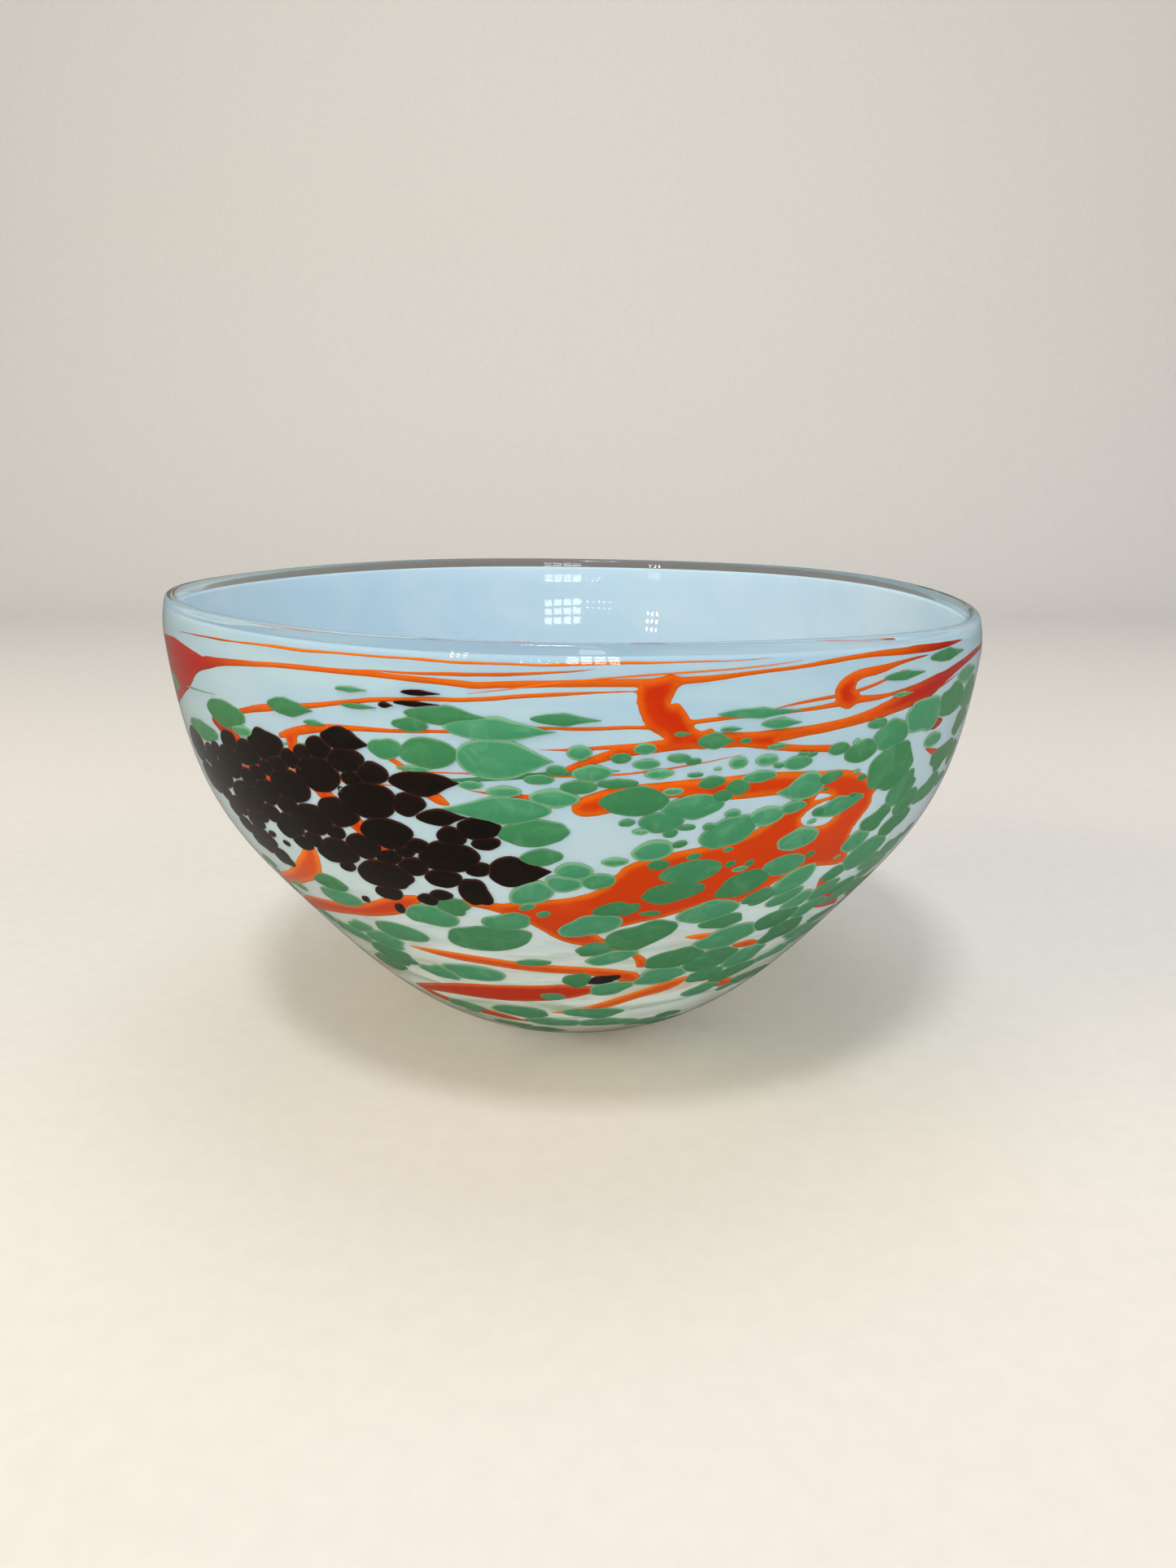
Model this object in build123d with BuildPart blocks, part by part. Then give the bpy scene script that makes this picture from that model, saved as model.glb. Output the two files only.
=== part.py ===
"""Hand-blown cased glass bowl: an opal lining, colour laid on its outside, clear casing over all.

Millimetres, +Z up. The origin is the centre of the foot, on the table. Places on the wall are
given as an angle round the axis (0 is the front, -Y; 90 is +X) and a distance down the wall from
the lip, measured along the outside of the opal lining.
"""
from build123d import *
import os
import random
from math import atan2, ceil, cos, dist, hypot, radians, sin, sqrt

# Driving dimensions
LIP_RADIUS = 120.0
HEIGHT = 130.6
FOOT_RADIUS = 30.0
CASING_DEPTH = 3.0          # clear glass over the lining
LIP_WALL = 5.0              # whole wall at the lip
BASE_WALL = 9.0             # whole wall at the foot
CLEAR_LIP = 2.8             # clear glass standing above the lining
LIP_ROUND = 2.3
LINING_ROUND = 0.8          # rounding of the lining's top edge
DIMPLE_RADIUS = 12.0        # ground-out pontil scar
DIMPLE_DEPTH = 1.5
DIMPLE_BALL = (DIMPLE_RADIUS**2 + DIMPLE_DEPTH**2) / (2 * DIMPLE_DEPTH)
TRAIL_GAP = 0.1             # clear glass under the orange
TRAIL_DEPTH = 0.45
FRIT_GAP = 0.65             # the chips lie over the orange
FRIT_DEPTH = 0.6

# Outside of the bowl, from the foot up (radius, height); it runs on past the lip and is cut there
OVERRUN = 7.0
OUTER = [
    (FOOT_RADIUS, 0.0), (50.5, 8.0), (69.0, 23.5), (89.5, 47.0),
    (109.5, 76.0), (117.5, 104.5), (LIP_RADIUS, HEIGHT), (LIP_RADIUS + 0.3, HEIGHT + OVERRUN),
]

# The lip is not level: height above HEIGHT as waves round the bowl (turns, cosine, sine). The sheet
# that cuts it reaches past the wall, and only edges near the lip are rounded.
LIP_WAVES = [(1, -0.2, -2.4), (2, 0.4, -0.65), (3, 0.2, 0.25), (4, -0.2, 0.4)]
CUT_REACH = 135.0
CUT_CELLS = 24
CUT_HEIGHT = 30.0
LIP_ZONE = 12.0

COAT_TOP = 0.945            # share of the wall curve where the colour coats end, just under the lip
LAYER_STATIONS = 14         # points along each layer of the wall

# How far one flat sketch may reach round the bowl, and how deep it cuts into the curved wall
SKETCH_SPAN = 42.0
SKETCH_REACH = 20.0


# --- The wall as a curve and as layers ---------------------------------------------------------

with BuildLine() as outer_line:
    Spline(*OUTER)
outer_edge = outer_line.edge()


def layer(foot_depth, lip_depth=None, top=1.0):
    """Points inside the outer wall, from the foot up; the depth may change on the way."""
    lip_depth = foot_depth if lip_depth is None else lip_depth
    points = []
    for i in range(LAYER_STATIONS + 1):
        t = top * i / LAYER_STATIONS
        depth = foot_depth + (lip_depth - foot_depth) * t
        along = outer_edge % t
        spot = outer_edge @ t
        points.append((spot.X - along.Y * depth, spot.Y + along.X * depth))
    return points


with BuildLine() as lining_line:
    Spline(*layer(CASING_DEPTH))
lining_edge = lining_line.edge()


def wall_spot(down):
    """Radius, height and upward direction of the lining's outside, a distance down from the lip."""
    length = max(lining_edge.length - OVERRUN - down, 0.0)
    spot = lining_edge.position_at(length, position_mode=PositionMode.LENGTH)
    along = lining_edge.tangent_at(length, position_mode=PositionMode.LENGTH)
    return spot.X, spot.Y, along


def wall_point(angle, down):
    """The point on the lining at an angle from the front and a distance down from the lip."""
    radius, height, _ = wall_spot(down)
    turn = radians(angle)
    return Vector(radius * sin(turn), -radius * cos(turn), height)


def wall_plane(angle, down):
    """A plane touching the lining there: x round the bowl, y up the wall, z outwards."""
    _, _, along = wall_spot(down)
    turn = radians(angle)
    outwards = Vector(along.Y * sin(turn), -along.Y * cos(turn), -along.X)
    round_bowl = Vector(cos(turn), sin(turn), 0)
    return Plane(origin=wall_point(angle, down), x_dir=round_bowl, z_dir=outwards)


def on_plane(plane, angle, down):
    """Where a place on the wall lands on a flat sketch."""
    local = plane.to_local_coords(wall_point(angle, down))
    return local.X, local.Y


# --- The two big glasses -----------------------------------------------------------------------

def lip_height(x, y):
    """Height of the lip's crest, a smooth sheet over the whole bowl."""
    reach = hypot(x, y) / LIP_RADIUS
    turn = atan2(x, -y)
    return HEIGHT + sum(reach**n * (c * cos(n * turn) + s * sin(n * turn)) for n, c, s in LIP_WAVES)


def above_lip(lowered=0.0):
    """Everything above the wavy lip, as a block to cut away."""
    steps = [CUT_REACH * (2 * i / CUT_CELLS - 1) for i in range(CUT_CELLS + 1)]
    sheet = [[Vector(x, y, lip_height(x, y) - lowered) for y in steps] for x in steps]
    return Solid.extrude(Face.make_surface_from_array_of_points(sheet), Vector(0, 0, CUT_HEIGHT))


def lip_edges(part):
    """The wavy edges that the cut above the lip leaves."""
    return part.edges().filter_by(lambda edge: edge.bounding_box().min.Z > HEIGHT - LIP_ZONE)


def wall_section(outside_points, bottom):
    """Fill the open sketch between one layer and the bowl's inside, up past the lip."""
    inside_points = layer(BASE_WALL, LIP_WALL)
    with BuildLine() as outline:
        Line((0, bottom), outside_points[0])
        outside = Spline(*outside_points)
        inside = Spline((0, BASE_WALL), *inside_points, tangents=[(1, 0), outer_edge % 1])
        Line(outside @ 1, inside @ 1)
        Line((0, bottom), (0, BASE_WALL))
    make_face(outline.edges())


with BuildPart() as opal_lining:
    with BuildSketch(Plane.XZ):
        wall_section(layer(CASING_DEPTH), CASING_DEPTH)
    revolve(axis=Axis.Z)
    add(above_lip(CLEAR_LIP), mode=Mode.SUBTRACT)
    fillet(lip_edges(opal_lining), LINING_ROUND)


# --- Layout of the colour ----------------------------------------------------------------------
# Angles in degrees round from the front, distances down from the lip in mm.

# Ribbons and threads of orange glass: (angle, down, width) along each, width 0 for a drawn-out end
TRAILS = {
    "lip_thread": [
        (-58, 4.4, 0), (-40, 3.6, 0.5), (-22, 3.6, 0.5), (-8, 4.2, 0.6), (6, 4.0, 0.6), (22, 4.2, 0),
    ],
    "upper_ribbon": [
        (-49, 9.8, 2.8), (-40, 8.3, 1.3), (-30, 7.3, 1.2), (-20, 7.6, 1.2), (-10, 8.8, 1.4), (2, 8.3, 1.6),
        (10, 8.1, 1.6), (20, 7.2, 0.9), (30, 6.0, 1.1), (39, 5.6, 1.5),
        (46, 6.3, 1.9), (52, 6.4, 1.2), (57, 6.6, 0),
    ],
    "upper_thread": [(-24, 6.8, 0), (-14, 6.7, 0.7), (-5, 6.3, 0.7), (3, 5.3, 0)],
    "second_thread": [
        (-45, 21.5, 0.8), (-38, 18.3, 1.8), (-30, 15.9, 1.3), (-22, 13.3, 1.0),
        (-12, 12.1, 0.9), (-2, 10.7, 0.8), (8, 9.9, 0),
    ],
    "third_thread": [
        (-36, 24.6, 1.4), (-31, 21.8, 2.2), (-24, 20.2, 1.2), (-14, 19.5, 0.8), (-3, 18.0, 0.7),
        (9, 17.9, 0.9),
    ],
    "short_thread": [(-4, 23.0, 0), (2, 22.6, 0.8), (9, 21.9, 1.0)],
    "splash": [(10.5, 8.4, 4.0), (8.9, 11.6, 8.0), (9.5, 15.0, 7.6), (11.6, 18.2, 6.6), (14.5, 21.0, 5.5)],
    "branch": [(-0.6, 27.8, 1.8), (3.5, 24.6, 2.2), (9, 22.4, 2.8), (15, 21.8, 3.4)],
    "second_ribbon": [
        (13, 21.2, 3.0), (20, 21.9, 3.4), (28, 21.1, 2.4), (35, 20.1, 2.8), (41, 18.0, 4.4),
        (46, 16.6, 5.6), (51, 14.2, 3.4), (58, 12.0, 1.8), (66, 11.0, 1.4), (74, 11.0, 0),
    ],
    "fork": [(19, 22.0, 3.2), (24, 24.4, 1.7), (30, 26.0, 1.7), (36, 27.9, 0)],
    "hook_top": [
        (47, 7.9, 0), (41, 8.3, 0.9), (36, 9.2, 2.0), (33, 10.8, 4.0), (32, 12.6, 6.6),
        (32.6, 14.4, 6.0),
    ],
    "hook_tail": [(32, 14.9, 2.6), (38, 15.4, 1.2), (45, 14.4, 0.6), (50, 13.4, 0)],
    "hook_thread": [(12, 17.3, 0.9), (20, 16.6, 0.8), (27, 16.2, 0.9), (33, 15.4, 1.6)],
    "mid_left": [(-12, 32.8, 0), (-6, 34.2, 1.4), (-1, 35.2, 2.4)],
    "mid_right": [(29, 37.4, 5.0), (27.5, 41.5, 6.0), (25.5, 45.5, 8.0)],
    "under_cluster": [(-50, 24.6, 2.6), (-46, 28.0, 5.5), (-42, 33.6, 5.5), (-38, 37.5, 2.0)],
    "cluster_thread": [
        (-34, 24.6, 3.6), (-33.5, 31.0, 4.5), (-29, 40.0, 4.0), (-25, 47.6, 4.6), (-22, 53, 2.0),
    ],
    "cluster_edge": [(-20.5, 26.6, 1.4), (-18, 30.0, 2.0), (-15.5, 35.0, 3.0), (-13.5, 37.0, 0)],
    "left_fall": [
        (-41, 51.0, 3.0), (-37, 55.0, 6.0), (-38.5, 61.0, 7.0), (-43, 67.0, 6.0), (-50, 73.0, 5.0),
        (-60, 80, 0),
    ],
    "left_rise": [
        (-21.5, 66.5, 3.0), (-26, 71.0, 6.5), (-33, 76.5, 5.0), (-43, 80.5, 6.0), (-53, 86.0, 6.0),
        (-64, 93, 0),
    ],
    "amber_band": [
        (-30, 91.6, 0), (-23, 92.4, 3.6), (-14, 93.6, 4.4), (-5, 95.6, 4.4), (4, 97.4, 4.6),
        (10, 101.0, 6.0), (13.5, 105.2, 2.0),
    ],
    "low_band": [
        (-40, 121.0, 4.0), (-31, 116.4, 6.0), (-22, 113.6, 9.0), (-11, 111.6, 10.0), (-2, 109.0, 9.0),
        (4, 107.6, 4.0),
    ],
    "low_hook": [
        (22, 106.4, 3.5), (19.5, 109.0, 6.0), (14, 112.6, 5.0), (8, 117.6, 4.6), (0, 122.6, 3.0),
        (-6, 124, 0),
    ],
    "foot_band": [(-38, 124.0, 5.0), (-30, 127.6, 5.6), (-21, 130.6, 5.2), (-12, 134.0, 0)],
    "river_tail": [
        (-16, 66.0, 2.4), (-9, 67.6, 4.0), (-4, 71.6, 7.0), (0, 77.6, 8.5), (4.5, 82.6, 4.0),
        (9.5, 88.0, 2.0), (12, 94.6, 3.6),
    ],
    "right_splash": [
        (37.5, 66.0, 2.0), (39.5, 70.0, 6.0), (41.5, 75.0, 8.0), (46, 80.0, 6.0), (52, 85.5, 0),
    ],
    "right_low": [(28, 111.6, 0), (33, 114.2, 4.6), (39, 117.6, 4.0), (45, 122, 0)],
    "right_dash": [(49, 26.6, 0), (51.5, 26.2, 3.0), (54, 26.0, 0)],
    "right_spark": [(50, 32.6, 0), (53.5, 34.4, 1.8), (58, 36.6, 0)],
    "amber_dash": [(17, 82.0, 0), (21, 82.8, 3.2), (26, 83.6, 0)],
    "red_dash": [(27.5, 90.6, 0), (31, 91.4, 3.8), (35, 92.8, 0)],
}

# Wide pools of orange glass: (angle, down) round each one
POOLS = {
    "left_pool": [
        (-47, 10.0), (-52, 8.0), (-59, 6.6), (-68, 7.4), (-80, 9.0), (-88, 13.0),
        (-86, 21.0), (-78, 26.5), (-69, 26.8), (-61, 22.0), (-55, 16.8), (-51, 12.6),
    ],
    "mid_pool": [
        (0.5, 34.5), (4, 32.0), (9, 31.0), (17, 30.4), (25, 30.6), (32, 32.0), (38, 35.0), (41, 40.0),
        (37, 40.6), (31, 37.6), (25, 36.4), (18, 36.2), (11, 35.0), (6, 37.2), (2.5, 38.8), (0, 37.6),
    ],
    "river": [
        (-10, 66.0), (-3, 63.2), (4, 58.6), (6, 53.4), (11, 49.6), (18, 47.6), (23, 44.6), (27, 40.4),
        (33, 38.6), (39, 38.6), (40.6, 43.0), (38.6, 50.0), (39.6, 56.0), (40.6, 60.6), (34, 60.0),
        (28.6, 62.6), (24, 68.6), (20, 67.6), (14, 70.8), (7, 74.6), (1, 78.0), (-4, 71.4),
    ],
}
RIVER_HOLE = [(28.6, 43.6), (30.6, 40.6), (34.0, 41.0), (34.0, 45.0), (31.8, 46.8)]

# Green chips: (angle, down, length, width, tilt), the tilt turning the right-hand end downwards
GREEN_OVALS = [
    # under the lip on the left, and over the left pool
    (-46.8, 21.8, 17, 5.6, -4), (-43.2, 25.4, 11, 3.0, 4),
    (-55, 28.8, 18, 4.0, -3), (-66, 19.4, 16, 4.4, -8),
    (-17.6, 18.2, 7.5, 2.2, -10), (-15.7, 24.7, 11.6, 5.4, 6),
    (-20.8, 24.2, 6.5, 3.0, 0), (-17.6, 28.5, 8, 1.2, 5),
    # among the small chips of the middle band
    (-3.4, 29.8, 6, 1.8, 5), (-1.5, 27.7, 4, 1.8, 0), (2.4, 28.3, 7, 2.6, 8), (-11, 31.6, 5, 1.6, 10),
    (-7.3, 32.9, 7, 2.0, 8), (0.8, 31.6, 7, 2.2, -8), (-1.9, 34.3, 10.5, 3.2, -5), (7.2, 35.2, 14, 5.2, 8),
    (14.3, 37.3, 14.5, 4.6, 28), (10.5, 40.9, 9, 3.8, 10),
    (6.5, 40.6, 3.2, 1.4, 20), (8.0, 43.0, 4.5, 1.6, 0),
    (13.4, 42.6, 4, 1.3, 0), (5.2, 30.9, 8.5, 1.8, 6), (16.0, 31.6, 6, 2.0, 25),
    (17.4, 35.1, 4.5, 2.2, 20), (19.2, 33.2, 5, 2.6, 25),
    (21.7, 31.2, 10, 2.6, 12), (11.4, 33.1, 4.4, 1.6, 6),
    (31.7, 33.8, 9.5, 2.2, 35), (27.2, 40.1, 7, 2.2, 25),
    (34.6, 41.7, 17, 3.2, 34), (36.4, 39.6, 3, 1.2, 20),
    (19.3, 44.4, 16, 6.6, 44), (23.6, 41.6, 10, 3.2, 25),
    (10.0, 48.4, 8.5, 3.6, 25), (13.0, 47.0, 3.4, 1.4, 25),
    (18.8, 27.3, 3.6, 2.0, 0), (22.2, 27.3, 5, 2.0, -14),
    (26.5, 28.7, 6.5, 2.4, 0), (27.0, 26.7, 3.5, 1.3, 0),
    (8.2, 26.4, 5.5, 1.7, 0), (9.8, 28.8, 6, 1.8, 10), (11.6, 25.3, 5, 1.6, -25), (13.8, 29.5, 3.5, 1.0, 0),
    (23.3, 24.2, 4.5, 1.2, 0), (8.0, 22.8, 4.4, 1.8, 0), (5.4, 24.8, 4, 1.8, 0), (24.0, 28.9, 3.0, 1.2, 0),
    # on and beside the river
    (28.9, 49.4, 11, 4.6, 5), (15.0, 55.4, 13.6, 5.8, 15),
    (13.2, 61.9, 16.4, 7.6, 8), (23.2, 61.2, 14, 6.6, 34),
    (28.4, 57.0, 11.5, 4.8, 12), (31.8, 63.8, 17, 6.2, 50),
    (5.9, 67.3, 9.6, 3.6, 20), (2.6, 73.6, 19, 8.0, 38),
    (10.5, 79.4, 18, 9.0, 35), (19.2, 70.9, 13.5, 6.6, 4),
    (-5.6, 66.0, 4, 1.8, 40),
    (-3.6, 68.6, 3, 1.8, 30), (10.6, 69.2, 5, 1.8, 0),
    (20.2, 54.0, 2.6, 1.6, 30), (21.6, 56.0, 3.8, 1.5, 10),
    (23.0, 54.4, 2.6, 1.5, 50), (15.0, 50.7, 3.4, 1.6, 22),
    (19.2, 49.6, 2.6, 1.2, 10), (10.6, 52.6, 4.5, 2.2, 0),
    (32.3, 55.0, 3.0, 1.5, 30), (38.2, 58.4, 2.4, 1.2, 30),
    (0.3, 54.0, 6.6, 3.4, 0), (-3.4, 49.8, 8, 2.8, 15),
    (-1.0, 57.6, 8, 4.0, 5), (3.4, 57.2, 6.4, 3.0, -5), (-4.6, 61.0, 12, 5.2, 48), (5.2, 51.2, 5.6, 1.8, 0),
    (-4.0, 43.2, 15.0, 5.0, 14), (30.6, 45.0, 2.4, 1.0, 20),
    # the crowded right-hand side
    (36.0, 28.2, 9, 3.4, 5), (32.2, 26.7, 5.5, 2.2, 0),
    (41.0, 25.8, 11, 4.8, -8), (47.6, 22.4, 15, 7.6, -18),
    (38.0, 22.0, 6, 2.0, 0), (55.6, 21.4, 15, 7.0, -8), (64.0, 22.0, 14, 6.0, 0), (43.2, 34.6, 18, 9.6, 30),
    (47.2, 41.6, 11, 6.0, 36), (52.0, 30.6, 9, 3.0, 8),
    (57.6, 36.6, 16, 5.0, 18), (62.5, 29.0, 12, 4.6, 10),
    (43.2, 49.0, 9, 4.4, 32), (49.4, 52.4, 12.5, 4.6, 38),
    (40.6, 54.4, 8.4, 3.6, 34), (45.0, 60.4, 15, 7.0, 32),
    (39.6, 65.0, 7, 3.2, 10), (56.4, 46.0, 15, 5.0, 25),
    (33.6, 80.6, 12, 6.0, 20), (22.6, 76.2, 10, 3.6, 5),
    # below the river
    (25.6, 85.0, 16, 8.0, 20), (17.4, 92.6, 14, 8.0, 5),
    (16.4, 102.6, 11, 7.6, 5), (25.4, 96.6, 13, 8.6, 10),
    (33.4, 99.0, 14, 9.0, 5), (38.6, 89.0, 12, 7.6, 20),
    (26.4, 106.6, 9, 5.0, 10), (35.0, 108.6, 12, 5.4, 20),
    (3.6, 84.6, 9, 4.0, 25), (6.6, 90.0, 11.5, 4.8, 35),
    (-12.6, 81.6, 22, 10.6, 22), (-20.6, 73.4, 12, 6.6, 10),
    (-9.0, 72.6, 13.5, 6.6, 34), (-16.4, 67.8, 6.6, 4.4, 0),
    (-28.6, 84.0, 15, 7.4, -10), (-6.6, 92.4, 8.4, 2.6, 8),
    (-18.4, 101.2, 15.5, 8.2, 4), (0.6, 101.8, 6.4, 5.4, 10),
    (7.4, 108.0, 10, 5.4, 35), (-4.4, 112.0, 6, 4.0, 0),
    (-13.6, 124.6, 15, 7.4, 5), (4.4, 123.8, 16, 6.4, -3),
    (-36.6, 66.6, 10, 4.6, 10), (-37.0, 73.4, 13, 5.8, 10),
    (-27.0, 104.6, 13, 8.0, 0), (-36.6, 100.6, 12, 8.0, 5),
    (-35.0, 91.6, 11, 6.4, 0), (-45.0, 93.6, 12, 6.0, -12),
    (-5.6, 133.0, 13, 6.0, 0), (9.0, 133.6, 14, 6.0, 0),
    (-20.0, 139.0, 10, 5.0, 0), (22.0, 137.6, 10, 5.0, 0),
]

# Chips drawn out to a point while the glass was turned, the point on the right
GREEN_LEAVES = [
    (-33.8, 17.0, 13, 3.2, -12), (-7.9, 18.5, 23.5, 4.2, -14),
    (-13.4, 15.7, 18, 2.8, -12), (-0.6, 16.0, 14.6, 1.9, -14),
    (-7.4, 25.2, 20, 7.8, -16), (21.0, 16.0, 21, 1.7, -12),
    (23.6, 18.8, 10, 1.7, -12), (15.8, 21.7, 8, 2.2, -14),
    (17.5, 19.3, 5, 1.0, -10), (12.0, 19.7, 4, 1.0, -5),
    (42.0, 11.4, 16, 1.6, -9), (52.0, 8.9, 20, 2.2, -13),
    (-8.4, 37.2, 25, 6.0, 188), (27.6, 34.8, 13, 5.2, 205),
    (42.0, 15.9, 8, 1.0, -12), (60.6, 15.4, 16, 3.0, -5),
    (-23.6, 14.9, 9, 1.0, -8), (-24.4, 11.2, 8, 1.0, -4), (-30, 20.0, 6, 1.0, -3),
]

# Aubergine chips that stand apart from the cluster, or that give it its outline
AUBERGINE_OVALS = [
    (-10.4, 42.6, 10, 4.6, 34), (-9.8, 46.4, 8, 3.4, 20),
    (-12.6, 62.0, 11, 5.4, -64), (-45.4, 62.4, 8, 4.0, -32),
    (6.0, 101.4, 9, 2.8, 34), (-44.0, 54.0, 3.0, 1.4, 30),
    (-41.6, 55.8, 2.4, 1.4, 0), (-30.6, 70.4, 3.0, 1.6, 60),
    (-24.8, 71.2, 5.0, 2.2, 70),
]
AUBERGINE_LEAVES = [
    (-26.4, 23.4, 11, 3.6, -26), (-16.4, 31.6, 15, 4.0, 8),
    (-6.4, 54.4, 12.5, 6.0, 6), (-14.8, 40.2, 11, 2.4, 16),
    (-16.6, 13.4, 10.5, 1.0, -5), (-20.2, 14.1, 3.4, 1.0, -5), (-16.0, 10.9, 9.0, 1.0, -4),
]

# The dense cluster: its outline, and the size and lie of the chips that fill it
CLUSTER = [
    (-60, 33), (-50, 31), (-46, 28), (-40, 25.6), (-34, 26), (-30, 24.6), (-24, 25.6), (-20, 28), (-17, 34),
    (-14.5, 39), (-12, 46), (-9, 51), (-9.5, 56), (-14, 61), (-17, 66.4), (-25, 67), (-30, 62), (-35, 55.6),
    (-42, 52.6), (-46, 55), (-47, 62), (-51, 60), (-52, 51), (-58, 49.4), (-61, 42),
]
CLUSTER_CHIP = (14.0, 7.4, 20.0)        # length, width, tilt
CLUSTER_PITCH = 1.03        # spacing of the chips, in chip lengths and widths
ROW_NESTING = 0.9           # the rows lie closer, as each nests in the gaps of the next
CLUSTER_REACH = 60.0        # mm, more than half of the cluster's length
CLUSTER_PASSES = (1.0, 0.5)     # big chips first, then smaller ones in the gaps they leave
CLUSTER_SHIFT = (-0.08, 0.08)   # how far a chip strays from its place, in lengths and widths
CLUSTER_SIZES = (0.84, 1.04)
CLUSTER_TURNS = (-14, 12)       # degrees either side of the tilt

SCATTER_SEED = 11
SCATTER_WIDTHS = (0.38, 0.6)    # width of a loose chip, in its lengths

# Loose chips scattered at random: (angles, downs, how many, lengths, tilts)
SCATTER_FRONT = [
    ((-14, 37), (22, 44), 34, (1.6, 4.2), (-5, 30)),
    ((24, 64), (58, 118), 50, (7, 14), (0, 40)),
    ((40, 88), (14, 60), 26, (6, 14), (-10, 35)),
    ((-66, -22), (70, 116), 22, (6, 13), (-15, 20)),
    ((-70, -44), (60, 90), 10, (4, 9), (0, 30)),
    ((-34, 60), (116, 150), 24, (6, 11), (-10, 15)),
    ((-90, -62), (28, 70), 14, (5, 12), (-5, 25)),
]

# The side away from the front was rolled in the same colours: its trails repeat some of the
# front's, turned round and let down a little
BACK_TURN = 176.0
BACK_DROP = 4.0
BACK_TRAILS = ["upper_ribbon", "second_ribbon", "left_fall", "left_rise", "amber_band", "river_tail"]
BACK_CLUSTER_TURN = 201.0
SCATTER_BACK = [
    ((88, 272), (14, 62), 84, (5, 15), (-15, 35)),
    ((92, 268), (60, 150), 70, (7, 15), (-10, 40)),
]


# --- Keeping the chips apart -------------------------------------------------------------------

CHIP_GAP = 0.35             # least clear glass between two chips
FAR_APART = 60.0            # two chips this far apart can't touch
SHRINK_STEPS = (1.0, 0.9, 0.8, 0.7)


def chip_plane(chip):
    """A plane on the wall with x along the chip."""
    angle, down, _, _, tilt, _ = chip
    return wall_plane(angle, down).rotated((0, 0, -tilt))


def beads(chip):
    """A chip as a row of beads that fill its oval, each (x, y, z, radius)."""
    _, _, length, width, _, _ = chip
    plane = chip_plane(chip)
    half_length, half_width = length / 2, width / 2
    focus_squared = half_length**2 - half_width**2
    count = 2 * ceil(length / width) + 1
    row = []
    for i in range(count):
        offset = (2 * i / (count - 1) - 1) * focus_squared / half_length
        centre = plane.origin + plane.x_dir * offset
        radius = half_width * sqrt(max(1 - offset**2 / focus_squared, 0))
        row.append((centre.X, centre.Y, centre.Z, radius))
    return row


def clear_of(row, placed_rows):
    """Whether a row of beads leaves the gap to all the rows already placed."""
    for other in placed_rows:
        if dist(row[0][:3], other[0][:3]) > FAR_APART:
            continue
        for bead in row:
            for placed in other:
                if dist(bead[:3], placed[:3]) < bead[3] + placed[3] + CHIP_GAP:
                    return False
    return True


def settle(chips, placed_rows, shrinks=SHRINK_STEPS):
    """The chips that find room, each made smaller if it has to be."""
    settled = []
    for angle, down, length, width, tilt, pointed in chips:
        for shrink in shrinks:
            chip = (angle, down, length * shrink, width * shrink, tilt, pointed)
            row = beads(chip)
            if clear_of(row, placed_rows):
                settled.append(chip)
                placed_rows.append(row)
                break
    return settled


def inside(outline, angle, down):
    """Whether a place on the wall lies inside an outline, by counting the sides to its right."""
    crossings = 0
    for (angle_a, down_a), (angle_b, down_b) in zip(outline, outline[1:] + outline[:1]):
        if (down_a > down) != (down_b > down):
            share = (down - down_a) / (down_b - down_a)
            crossings += angle_a + share * (angle_b - angle_a) > angle
    return crossings % 2 == 1


def fill_cluster(outline, scale, rng):
    """Chips lying side by side in slanting rows, wherever they fall inside the outline."""
    length, width = CLUSTER_CHIP[0] * scale, CLUSTER_CHIP[1] * scale
    tilt = CLUSTER_CHIP[2]
    centre_angle = sum(angle for angle, _ in outline) / len(outline)
    centre_down = sum(down for _, down in outline) / len(outline)
    degree = radians(1) * wall_spot(centre_down)[0]
    chips = []
    reach = ceil(CLUSTER_REACH / width)
    for row in range(-reach, reach + 1):
        for place in range(-reach, reach + 1):
            along = (place + 0.5 * (row % 2) + rng.uniform(*CLUSTER_SHIFT)) * length * CLUSTER_PITCH
            across = (row + rng.uniform(*CLUSTER_SHIFT)) * width * CLUSTER_PITCH * ROW_NESTING
            angle = centre_angle + (along * cos(radians(tilt)) - across * sin(radians(tilt))) / degree
            down = centre_down + along * sin(radians(tilt)) + across * cos(radians(tilt))
            size = rng.uniform(*CLUSTER_SIZES)
            turned = tilt + rng.uniform(*CLUSTER_TURNS)
            if inside(outline, angle, down):
                chips.append((angle, down, length * size, width * size, turned, False))
    return chips


def scatter(zones, rng):
    """Loose chips thrown at random over each zone."""
    chips = []
    for angles, downs, count, lengths, tilts in zones:
        for _ in range(count):
            length = rng.uniform(*lengths)
            width = length * rng.uniform(*SCATTER_WIDTHS)
            tilt = rng.uniform(*tilts)
            chips.append((rng.uniform(*angles), rng.uniform(*downs), length, width, tilt, False))
    return chips


# --- Colour as solids --------------------------------------------------------------------------

def band(near, far):
    """A thin coat on the lining, between two distances out from it, clear of foot and lip."""
    with BuildPart() as coat:
        with BuildSketch(Plane.XZ):
            with BuildLine() as outline:
                near_side = Spline(*layer(CASING_DEPTH - near, top=COAT_TOP))
                far_side = Spline(*layer(CASING_DEPTH - far, top=COAT_TOP))
                Line(near_side @ 0, far_side @ 0)
                Line(near_side @ 1, far_side @ 1)
            make_face(outline.edges())
        revolve(axis=Axis.Z)
    return coat.part


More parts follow.
